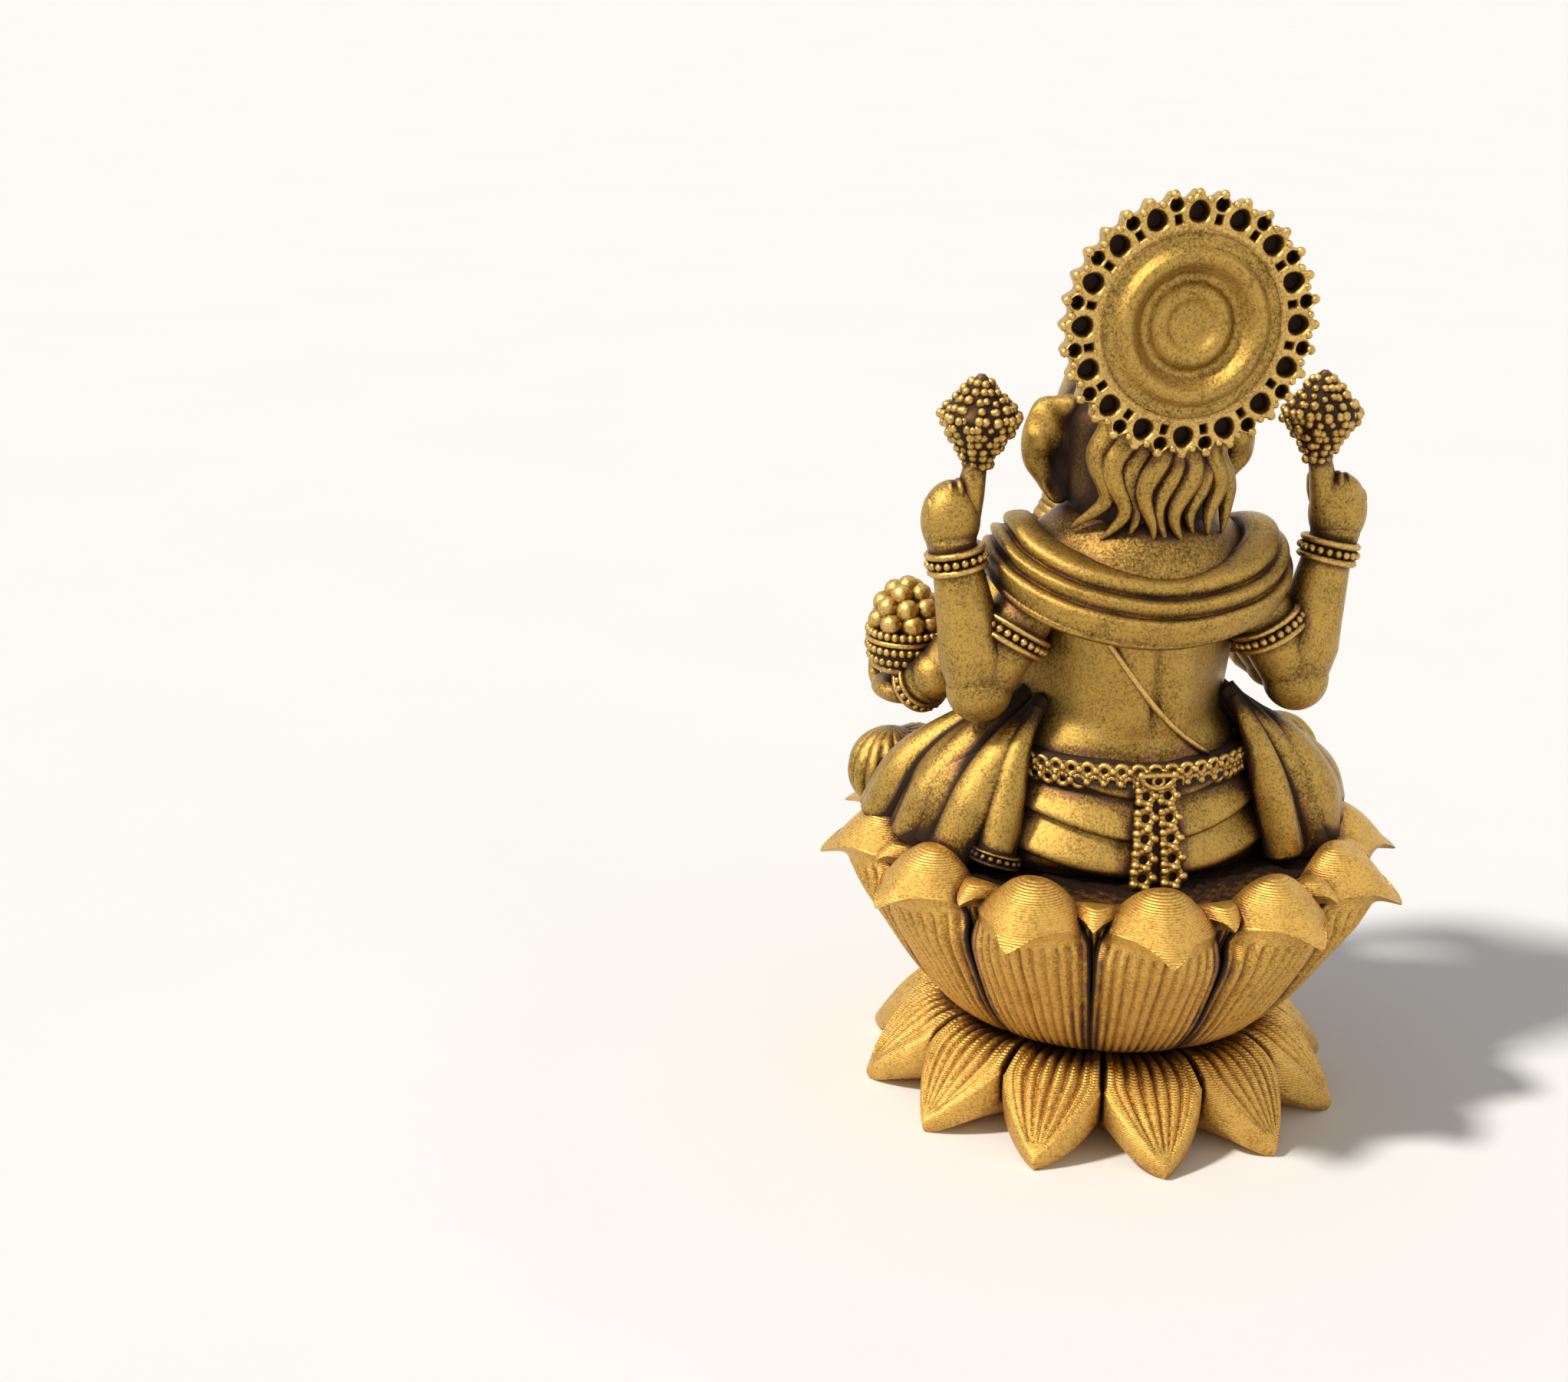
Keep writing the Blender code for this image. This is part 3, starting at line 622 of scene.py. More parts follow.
@dataclass
class Workshop:
    """Makes the finished pieces and works out where patina and painted shade gather on them."""

    nodes: dict
    pitch: float = 0.25
    margin: float = 4.0
    crowd_weight: float = 0.3
    made: list = field(default_factory=list)
    grooves: list = field(default_factory=list)
    shade_and_patina_weights: list = field(default_factory=list)
    materials: dict = field(default_factory=dict)

    def material(self, finish: GoldFinish | SteelFinish) -> bpy.types.Material:
        """The finish's material, built once.

        Args:
            finish: the finish.

        Returns:
            Its material.
        """
        if finish.name not in self.materials:
            self.materials[finish.name] = finish.build()
        return self.materials[finish.name]

    def add(self, name: str, shell: Shell, finish: GoldFinish, node: str, shade_and_patina: float = 0.6) -> None:
        """Writes a shell as a mesh object that stands for a CAD node.

        Args:
            name: the piece's name.
            shell: its points and faces in millimetres.
            finish: the finish it is dressed in.
            node: the node that it replaces.
            shade_and_patina: how much patina and painted shade gather where its surfaces crowd together.
        """
        mesh = bpy.data.meshes.new(name)
        loops = np.concatenate([shell.quads.ravel(), shell.tris.ravel()]).astype(np.int32)
        quad_starts = np.arange(len(shell.quads)) * 4
        tri_starts = len(shell.quads) * 4 + np.arange(len(shell.tris)) * 3
        starts = np.concatenate([quad_starts, tri_starts]).astype(np.int32)
        mesh.vertices.add(len(shell.points))
        mesh.vertices.foreach_set("co", (shell.points * MM).astype(np.float32).ravel())
        mesh.loops.add(len(loops))
        mesh.loops.foreach_set("vertex_index", loops)
        mesh.polygons.add(len(starts))
        mesh.polygons.foreach_set("loop_start", starts)
        mesh.polygons.foreach_set("use_smooth", np.ones(len(starts), bool))
        mesh.update(calc_edges=True)
        mesh.materials.append(self.material(finish))
        obj = bpy.data.objects.new(name, mesh)
        bpy.context.scene.collection.objects.link(obj)
        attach(obj, "root")
        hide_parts(node)
        self.made.append(obj)
        self.grooves.append(shell.groove)
        self.shade_and_patina_weights.append(np.full(len(shell.points), shade_and_patina))
        LOG.info("%s: %d faces", name, len(starts))

    def pair(self, name: str, shell: Shell, finish: GoldFinish, node: str, shade_and_patina: float = 0.6) -> None:
        """Adds a shell drawn on the left on both sides, with the side's word before both names."""
        for side in Side:
            self.add(f"{side.word}_{name}", shell.mirrored(side), finish, f"{side.word}_{node}", shade_and_patina)

    def dress(self, finish: SteelFinish, *nodes: str) -> None:
        """Gives CAD nodes that stay as they are a finish.

        Args:
            finish: the finish.
            nodes: the nodes' names.
        """
        for node in nodes:
            slot = self.nodes[node].material_slots[0]
            slot.link = "OBJECT"
            slot.material = self.material(finish)
            LOG.info("%s: kept as it is", node)

    def patina(self) -> None:
        """Writes each piece's recess attribute.

        The area of all surfaces is gathered in a grid of cells and blurred over a small and a
        wide reach. A point is in a recess where the cells just outside it hold more surface
        than they would above a plain sheet. This crowding is an ambient-occlusion estimate,
        so the darkness it adds is painted shade as well as patina.
        """
        points, normals, areas = (np.concatenate(part) for part in zip(*map(self.surface, self.made)))
        low = points.min(axis=0) - self.margin
        shape = tuple(np.ceil((points.max(axis=0) + self.margin - low) / self.pitch).astype(int))
        cells = np.ravel_multi_index(((points - low) / self.pitch).astype(int).T, shape)
        grid = np.bincount(cells, areas, math.prod(shape)).reshape(shape).astype(np.float32) / self.pitch**3
        recess = np.concatenate(self.grooves)
        shade_and_patina = np.concatenate(self.shade_and_patina_weights)
        for reach, offset, spare in ((1, 0.3, 0.35), (4, 1.0, 0.5)):
            spread = blurred(blurred(grid, reach), reach)
            width = (2 * reach + 1) * self.pitch
            plain = (1.0 - offset / width) / width
            crowd = read_grid(spread, (points + normals * offset - low) / self.pitch - 0.5) / plain - 1.0
            # Crowded surfaces stand for ambient occlusion: this term adds painted shade together with patina,
            # scaled by each piece's weight.
            recess = recess + np.clip(crowd - spare, -0.3, 2.0) * self.crowd_weight * shade_and_patina
        start = 0
        for obj in self.made:
            count = len(obj.data.vertices)
            values = np.clip(recess[start : start + count], 0.0, 1.0).astype(np.float32)
            obj.data.attributes.new("recess", "FLOAT", "POINT").data.foreach_set("value", values)
            start += count

    def surface(self, obj: bpy.types.Object) -> tuple[Array, Array, Array]:
        """Points in millimetres, normals and the area that belongs to each point of a piece.

        Args:
            obj: the piece.

        Returns:
            The three arrays.
        """
        mesh = obj.data
        count = len(mesh.vertices)
        points, normals = (read(mesh.vertices, name, np.float32, 3) for name in ("co", "normal"))
        loops = read(mesh.loops, "vertex_index", np.int32)
        totals = read(mesh.polygons, "loop_total", np.int32)
        shares = np.repeat(read(mesh.polygons, "area", np.float32) / totals, totals) / MM**2
        return points.reshape(-1, 3) / MM, normals.reshape(-1, 3), np.bincount(loops, shares, count)


def read(items: bpy.types.bpy_prop_collection, name: str, kind: type, width: int = 1) -> Array:
    """One property of all of a mesh's vertices, loops or faces, as a flat array.

    Args:
        items: the collection.
        name: the property.
        kind: its number type.
        width: numbers for each item.

    Returns:
        The array.
    """
    values = np.empty(len(items) * width, kind)
    items.foreach_get(name, values)
    return values


def blurred(grid: Array, reach: int) -> Array:
    """A box average of 2 * reach + 1 cells along each axis, from running sums.

    Args:
        grid: the cells.
        reach: cells on each side.

    Returns:
        The blurred cells.
    """
    window = 2 * reach + 1
    for axis in range(3):
        edges = [(reach + 1, reach) if a == axis else (0, 0) for a in range(3)]
        total = np.moveaxis(np.cumsum(np.pad(grid, edges), axis=axis, dtype=np.float64), axis, 0)
        grid = np.moveaxis((total[window:] - total[:-window]) / window, 0, axis).astype(np.float32)
    return grid


def read_grid(grid: Array, place: Array) -> Array:
    """Reads a grid between its cells, with weights from the eight nearest.

    Args:
        grid: the cells.
        place: (n, 3) places in cells.

    Returns:
        The n values.
    """
    base = np.floor(place).astype(int)
    share = place - base
    value = np.zeros(len(place))
    for corner in np.ndindex(2, 2, 2):
        index = np.clip(base + corner, 0, np.array(grid.shape) - 1)
        weight = np.prod(np.where(np.array(corner) == 1, share, 1.0 - share), axis=1)
        value += weight * grid[tuple(index.T)]
    return value


# Rows of crest radius and height, edge radius and height, and power, from a petal's foot to its inner end
LARGE_PETAL = (
    (12.4, 7.5, 12.3, 7.5, 6.0), (14.2, 8.5, 13.9, 8.6, 6.0), (16.7, 11.2, 16.2, 11.3, 5.0),
    (19.0, 14.6, 18.1, 14.8, 4.0), (20.9, 17.4, 19.4, 17.8, 2.6), (21.8, 19.2, 19.2, 19.6, 2.2),
    (22.2, 19.9, 19.3, 20.5, 2.0), (23.1, 20.4, 19.9, 21.0, 1.8), (23.1, 20.9, 19.9, 21.5, 1.8),
    (22.3, 22.1, 19.3, 22.0, 2.0), (20.8, 23.5, 18.5, 22.3, 2.2), (18.9, 24.3, 17.6, 22.2, 2.3),
    (17.3, 23.5, 16.8, 21.6, 2.3), (16.4, 20.8, 16.2, 20.6, 2.3),
)
SMALL_PETAL = (
    (15.4, 12.5, 15.0, 12.5, 3.0), (16.8, 15.5, 15.9, 15.5, 2.6), (18.3, 18.5, 16.8, 18.5, 2.3),
    (19.3, 20.3, 17.4, 20.5, 2.0), (19.6, 20.9, 17.7, 21.3, 1.8), (20.8, 21.4, 17.9, 21.7, 1.6),
    (20.6, 22.1, 17.8, 22.0, 1.7), (19.4, 22.8, 17.5, 22.3, 2.0), (17.9, 22.5, 17.1, 22.0, 2.0),
    (17.0, 20.8, 16.6, 20.8, 2.0),
)
# Shares of the pitch that a petal fills at even steps along it
LARGE_WIDTHS = (1.0, 1.0, 0.99, 0.96, 0.85, 0.78, 0.72, 0.66, 0.62)
SMALL_WIDTHS = (0.24, 0.3, 0.4, 0.42, 0.4, 0.34)
# Radius and height of the bowl that carries the petals, coloured dark as painted shade between them
PETAL_BOWL = (
    (1.8, 7.5), (12.3, 7.5), (13.3, 8.8), (14.9, 11.5), (15.9, 15.0), (16.4, 18.0), (16.4, 20.2), (1.8, 20.2),
)


@dataclass
class LotusBase:
    """The double lotus: a down-turned ring of leaves, an up-turned bowl of hooded petals, the seat."""

    petals: int = 12
    lower_tip: float = 20.0
    lower_valley: float = 15.6
    lower_neck: float = 13.2
    lower_foot: float = 11.0
    lower_height: float = 7.2
    tip_height: float = 1.15
    lower_turn: float = math.radians(1.5)
    upper_turn: float = math.radians(6.3)
    bore: float = 1.8
    recess_radius: float = 5.1
    recess_top: float = 3.3
    seat_radius: float = 16.2
    seat_top: float = 21.3
    seat_thick: float = 0.75
    leaf_point: float = 0.7
    leaf_ribs: float = 6.0
    leaf_rib_depth: float = 0.55
    leaf_swell: float = 0.6
    leaf_border: float = 0.16
    leaf_gap: float = 0.9
    arch: float = 3.2
    large_ribs: float = 10.0
    small_ribs: float = 5.0
    rib_depth: float = 0.42
    lip: float = 0.45
    bow: float = 0.95
    nose: float = 1.1

    def columns(self, per_petal: int, turn: float) -> tuple[Array, Array]:
        """Angles round the ring and each one's place in its petal, from -1 to 1, close set at the gaps.

        Args:
            per_petal: columns in a petal.
            turn: angle of the first petal.

        Returns:
            The angles and the places.
        """
        place = np.sin(np.linspace(-1.0, 1.0, per_petal, endpoint=False) * math.pi / 2)
        angle = (np.arange(self.petals)[:, None] + place[None] / 2) * TURN / self.petals + turn
        return angle.ravel(), np.tile(place, self.petals)

    def ring(self, radius: Number, height: Number, angle: Array) -> Array:
        """Points at angles from the back towards the figure's left."""
        return xyz(radius * np.sin(angle), radius * np.cos(angle), height)

    def slope(self, radius: Array) -> Array:
        """Height of a leaf's upper face: falls from the neck as a power of the way out."""
        share = np.clip((radius - self.lower_neck) / (self.lower_tip - self.lower_neck), 0.0, 1.0)
        return self.tip_height + (self.lower_height - self.tip_height) * (1.0 - share**1.6)

    def lower(self) -> Shell:
        """Ribbed leaves of outline valley + (tip - valley)(1 - |t|)^point, arched below by |t|^1.4.

        Returns:
            The ring of leaves, closed round the bore.
        """
        angle, place = self.columns(100, self.lower_turn)
        span = self.lower_tip - self.lower_valley
        edge = self.lower_valley + span * (1.0 - np.abs(place)) ** self.leaf_point
        radius = self.lower_neck + (edge - self.lower_neck) * np.linspace(1.0, 0.0, 60)[:, None]
        past = radius - self.lower_valley
        room = 1.0 - np.clip(past / span, 0.0, 1.0) ** (1.0 / self.leaf_point)
        across = np.clip(place / np.maximum(room, 0.02), -1.0, 1.0)
        off = np.abs(across)
        out = (radius - self.lower_neck) / (self.lower_tip - self.lower_neck)
        fade = (1.0 - ramp(off, 0.72, 0.8)) * (1.0 - ramp(out, 0.84, 0.96))
        cut = 1.0 - ribs(across / 0.8, self.leaf_ribs, 0.8)
        border = ramp(off, 0.72, 0.84) * (1.0 - ramp(off, 0.92, 1.0))
        gap = ramp(np.abs(place), 0.9, 1.0) * (1.0 - ramp(past, -0.2, 0.6))
        swell = (1.0 - across**2) * np.sin(math.pi * np.clip(out, 0.0, 1.0))
        height = self.slope(radius) + self.leaf_swell * swell - self.leaf_rib_depth * cut * fade
        height = np.minimum(height + self.leaf_border * border - self.leaf_gap * gap, self.lower_height + 0.1)
        foot = self.arch * np.abs(place) ** 1.4
        wall = np.linspace(0.0, 0.96, 10)[:, None]
        bulge = edge - 0.25 * (1.0 - wall) ** 2 + 0.1 * np.sin(math.pi * wall)
        under = np.array(
            [
                self.ring(self.bore, self.recess_top, angle),
                self.ring(self.recess_radius, self.recess_top, angle),
                self.ring(self.recess_radius, 0.0, angle),
                self.ring(self.lower_foot, 0.0, angle),
            ]
        )
        sides = self.ring(bulge, foot + (height[0] - foot) * wall, angle)
        top = self.ring(radius, height, angle)
        inner = self.ring(self.bore, self.lower_height, angle)[None]
        points = np.concatenate([under, sides, top, inner])
        groove = np.zeros(points.shape[:2])
        first_top = len(under) + len(sides)
        groove[len(under) : first_top] = ramp(np.abs(place), 0.93, 1.0) * 0.7
        groove[first_top:-1] = np.maximum(cut**1.3 * fade * 0.42, gap * 0.8)
        return lattice(points, rows_close=True, groove=groove)

    def petal_ring(self, table: Sequence, widths: Row, turn: float, lines: float, grid: tuple) -> Shell:
        """Hooded petals: each row runs from an edge line to a crest line as 1 - |q|^power over the place q.

        Args:
            table: rows of crest radius and height, edge radius and height, and power.
            widths: shares of the pitch that a petal fills at even steps along it.
            turn: angle of the first petal.
            lines: carved ribs on the outer face.
            grid: rows and columns of a petal.

        Returns:
            The ring of petals, each a closed shell.
        """
        rows, columns = grid
        line = through(table, rows)[:, :, None]
        along = np.linspace(0.0, 1.0, rows)[:, None]
        place = np.linspace(-1.0, 1.0, columns)
        off = np.abs(place)
        width = through(np.stack([widths, widths], axis=1), rows)[:, :1]
        body = 1.0 - off ** line[:, 4]
        bow = self.bow * bell(along - 0.53, 0.07) * np.sin(math.pi * off**0.85)
        bow = bow * np.minimum(np.abs(line[:, 0] - line[:, 2]) / 4.0, 1.0)
        nose = self.nose * widths[0] * bell(place, 0.28) * bell(along - 0.575, 0.06)
        height = line[:, 3] + (line[:, 1] - line[:, 3]) * body + bow - 0.5 * nose
        cut = 1.0 - ribs(place / 0.88, lines, 0.8)
        carved = ramp(along, 0.02, 0.06) * (1.0 - ramp(along, self.lip - 0.05, self.lip))
        carved = carved * (1.0 - ramp(off, 0.86, 0.94))
        radius = line[:, 2] + (line[:, 0] - line[:, 2]) * body + nose - self.rib_depth * cut * carved
        edge = ramp(off, 0.94, 0.99) * (1.0 - ramp(along, self.lip, 0.6))
        groove = np.maximum(cut**1.1 * carved * 0.42, edge * 0.7)
        spread = place * width * math.pi / self.petals
        middles = np.arange(self.petals) * TURN / self.petals + turn
        return merge(lattice(self.ring(radius, height, middle + spread), groove=groove) for middle in middles)

    def upper(self) -> Shell:
        """A bowl coloured dark as painted shade, under twelve large hooded petals and twelve small ones in
        their gaps.

        Returns:
            The bowl and the petals.
        """
        bowl = self.ring(*np.asarray(PETAL_BOWL).T[:, :, None], steps(160))
        between = self.upper_turn + math.pi / self.petals
        large = self.petal_ring(LARGE_PETAL, LARGE_WIDTHS, self.upper_turn, self.large_ribs, (98, 61))
        small = self.petal_ring(SMALL_PETAL, SMALL_WIDTHS, between, self.small_ribs, (60, 37))
        # The bowl's groove value of 0.95 paints it as dark as the deepest patina: painted shade where it
        # shows between the petals.
        return merge([lattice(bowl, rows_close=True, groove=0.95), large, small])

    def seat(self) -> Shell:
        """A plate whose top is pitted by two sizes of wobble.

        Returns:
            The plate, closed round the bore.
        """
        outward = np.linspace(self.bore, self.seat_radius, 70)
        inward = np.linspace(self.seat_radius, self.bore, 5)
        radius = np.concatenate([outward, inward])[:, None]
        height = np.full_like(radius, self.seat_top)
        height[len(outward) :] -= self.seat_thick
        points = self.ring(radius, height, steps(220))
        pits = 0.12 * wobble(points, 0.55) + 0.1 * wobble(points, 0.2, 2.0)
        points[: len(outward), :, 2] += np.minimum(pits[: len(outward)], 0.08)
        return lattice(points, rows_close=True, groove=np.clip(0.45 - pits * 3.0, 0.0, 1.0))

    def build(self, shop: Workshop) -> None:
        """Adds the base's pieces."""
        shop.add("lower_lotus_leaves", self.lower(), BASE_GOLD, "lower_lotus", shade_and_patina=0.3)
        shop.add("upper_lotus_petals", self.upper(), BASE_GOLD, "upper_lotus", shade_and_patina=0.35)
        shop.add("pitted_seat", self.seat(), SEAT_PATINA, "seat_plate")
        shop.dress(STEEL, "fixing_stud", "fixing_washer", "fixing_nut")


# Level ovals as rows of height, half-width, half-depth and middle y
HIPS = (
    (21.5, 11.7, 9.4, 0.6), (22.6, 12.7, 10.0, 0.6), (24.5, 12.5, 9.9, 0.55), (26.5, 11.8, 9.5, 0.4),
    (28.5, 10.9, 9.1, 0.3), (30.0, 10.3, 8.9, 0.2), (31.0, 9.9, 8.5, 0.2),
)
TORSO = (
    (29.6, 9.6, 8.6, 0.1), (32.3, 9.3, 8.5, -0.3), (34.0, 9.0, 9.0, -0.7), (37.5, 9.5, 9.6, -1.1),
    (41.0, 9.5, 8.6, -0.1), (44.0, 9.9, 7.8, 1.2), (46.5, 9.6, 7.3, 1.4), (48.3, 8.2, 6.4, 1.4),
    (49.8, 6.2, 5.4, 1.2), (51.0, 4.4, 4.2, 1.0),
)
HEAD = (
    (49.6, 4.0, 4.0, -0.5), (51.5, 5.4, 5.6, -1.2), (54.0, 6.3, 7.0, -1.6), (57.0, 6.2, 7.4, -1.6),
    (60.0, 5.3, 6.8, -1.2), (62.0, 4.4, 5.2, -0.9), (62.9, 3.6, 4.0, -0.8),
)
HAIR_BACKING = (
    (47.9, 5.0, 5.0, 1.0), (50.0, 5.8, 5.4, 1.3), (53.0, 6.1, 5.3, 1.5), (57.0, 6.0, 5.4, 1.4),
    (58.8, 4.8, 4.6, 1.2),
)
# Growth in radius and share of the width, once round the section of a bracelet
BAND_SECTION = (
    (-0.15, -0.5), (0.3, -0.5), (0.5, -0.4), (0.42, -0.26), (0.12, -0.18),
    (0.12, 0.18), (0.42, 0.26), (0.5, 0.4), (0.3, 0.5), (-0.15, 0.5),
)


def on_oval(table: Sequence, x: Array, z: Array, way: float) -> Array:
    """The y of an oval stack's surface at x and z, at the back (way 1) or the front (way -1).

    Args:
        table: rows of the stack.
        x: places across.
        z: heights.
        way: back or front.

    Returns:
        The y of each place.
    """
    rows = np.asarray(table)
    wide, deep, middle = (np.interp(z, rows[:, 0], rows[:, i]) for i in (1, 2, 3))
    return middle + way * deep * np.sqrt(np.maximum(1.0 - (x / wide) ** 2, 0.05))


def limb(points: Sequence, sizes: Row, up: Row = BACK, pleats: float = 0.0) -> Shell:
    """A tube through points whose radius runs through sizes, with pleats along it.

    Args:
        points: points of the middle line.
        sizes: radii at even steps.
        up: rough direction of its lift.
        pleats: depth of the pleats as a share of the radius.

    Returns:
        The closed tube.
    """
    rows, around = 70, 96 if pleats else 40
    share = np.linspace(0.0, 1.0, rows)
    radius = np.interp(share, np.linspace(0.0, 1.0, len(sizes)), sizes)
    fold = ribs(steps(around) / math.pi - 1.0 + 0.08 * np.sin(4.0 * share)[:, None], 24.0, 0.7)
    groove = (1.0 - fold) ** 1.5 * (0.8 if pleats else 0.0)
    return sweep(through(points, rows), radius, radius, up, around, 1.0 - pleats * (1.0 - fold), groove)


def folded_ball(centre: Row, radius: float, pleats: float) -> Shell:
    """A ball on an upright axis with pleats along its meridians.

    Args:
        centre: its middle.
        radius: its radius.
        pleats: depth of the pleats as a share of the radius.

    Returns:
        The closed ball.
    """
    rows, around = 40, 112
    path = np.asarray(centre) + np.linspace(-radius, radius, rows)[:, None] * np.array(UPRIGHT)
    size = rounded(rows, radius, radius, 0.5)
    wave = 0.06 * np.sin(np.linspace(0.0, 3.0, rows))[:, None]
    cut = 1.0 - ribs(steps(around) / math.pi - 1.0 + wave, 14.0, 0.75)
    return sweep(path, size, size, BACK, around, 1.0 - pleats * cut, cut**2 * 0.6)


def band(centre: Row, ahead: Row, radius: float, width: float, count: int) -> Shell:
    """A bracelet square to a direction: two raised rims with a row of beads in the channel between.

    Args:
        centre: its middle.
        ahead: direction of the limb through it.
        radius: of the limb there.
        width: along the limb.
        count: beads in the row.

    Returns:
        The rims and the beads.
    """
    grow, place = np.asarray(BAND_SECTION).T[:, :, None]
    groove = np.where((grow < 0.2) & (np.abs(place) < 0.3), 0.75, 0.0)
    rims = lattice(circle(radius + grow, place * width, steps(64)), rows_close=True, groove=groove)
    row = beads(circle(radius + 0.3, 0.0, steps(count)), math.pi * radius / count * 1.05)
    axes = facing(np.asarray([ahead], float), (0.3, 1.0, 0.2))
    return copies(merge([rims, row]), [centre], 1.0, axes)


@dataclass
class Body:
    """The hips in a folded wrap and the bare torso."""

    fold_foot: float = 20.6
    fold_height: float = 3.2
    fold_depth: float = 1.0
    sag: float = 2.3
    waist: float = 0.14
    navel_height: float = 35.6
    navel_width: float = math.sqrt(0.4)

    def hips(self) -> Shell:
        """Cloth layers like roof tiles: sin(pi f^0.55)^0.8 (1.15 - f) over a layer's share f.

        Returns:
            The wrapped hips.
        """
        points, height, turn = level_rings(HIPS, 130, 220)
        dip = self.sag * bell(turn - math.pi / 2, 0.75)
        share = ((height[:, None] + dip - self.fold_foot) / self.fold_height) % 1.0
        bulge = self.fold_depth * (np.sin(math.pi * share**0.55) ** 0.8 * (1.15 - share) - 0.4)
        points += xyz(bulge * np.cos(turn), bulge * np.sin(turn), 0.0)
        groove = np.maximum(1.0 - ramp(share, 0.0, 0.1), ramp(share, 0.95, 1.0)) * 0.7
        return lattice(points, groove=groove)

    def torso(self) -> Shell:
        """A back with a furrow along the spine between two long swells, all Gaussians of x.

        Returns:
            The torso with its navel.
        """
        points, _, turn = level_rings(TORSO, 120, 180)
        x, z = points[..., 0], points[..., 2]
        above = ramp(z, 31.0, 34.0)
        back = ramp(np.sin(turn), 0.0, 0.5) * above * (1.0 - ramp(z, 40.0, 44.0))
        furrow = bell(x, 0.4)
        swell = bell(np.abs(x) - 2.4, 1.9)
        navel = bell(np.hypot(x, z - self.navel_height), self.navel_width) * ramp(-np.sin(turn), 0.5, 0.9)
        points[..., 1] += back * (0.4 * swell - 0.3 * furrow) + 0.7 * navel
        points[..., 0] *= 1.0 - self.waist * ramp(np.sin(turn), -0.2, 0.7) * above
        # The last term darkens the top of the torso, under the shawl and the head: painted shade.
        return lattice(points, groove=back * furrow * 0.22 + navel * 0.8 + 0.3 * ramp(z, 45.0, 47.5))

    def build(self, shop: Workshop) -> None:
        """Adds the body's pieces."""
        shop.add("wrapped_hips", self.hips(), FIGURE_GOLD, "hips", shade_and_patina=0.65)
        shop.add("bare_torso", self.torso(), FIGURE_GOLD, "torso", shade_and_patina=0.3)


TRUNK_LINE = (
    (0.0, -8.2, 57.2), (0.0, -11.2, 54.5), (0.3, -12.6, 50.0), (1.6, -13.2, 45.5),
    (4.8, -13.3, 41.8), (8.6, -12.8, 40.6), (11.2, -12.0, 41.6), (11.8, -11.4, 43.2),
)
TUSK_LINE = ((3.4, -7.4, 53.8), (4.3, -10.8, 51.6), (4.9, -13.4, 51.4))
# Share of the way to the rim and y, from the middle of an ear's back to the middle of its front
EAR_PROFILE = (
    (0.02, 1.45), (0.4, 1.4), (0.75, 1.1), (0.94, 0.75), (1.0, 0.3), (0.95, -0.1), (0.7, -0.2),
    (0.35, -0.35), (0.02, -0.4),
)
# Radius and height
CROWN_PROFILE = (
    (4.6, 62.7), (5.6, 63.1), (5.6, 64.0), (4.9, 64.5), (5.1, 65.4), (4.3, 65.9), (4.4, 66.7),
    (3.4, 67.3), (3.4, 68.2), (2.3, 68.8), (2.2, 69.6), (1.1, 70.2), (1.4, 70.9), (0.6, 71.6),
)
# Radius, height, number and size
CROWN_BEADS = ((5.6, 63.55, 30, 0.46), (5.0, 65.2, 27, 0.42), (4.3, 66.5, 25, 0.4), (3.3, 68.0, 20, 0.36))


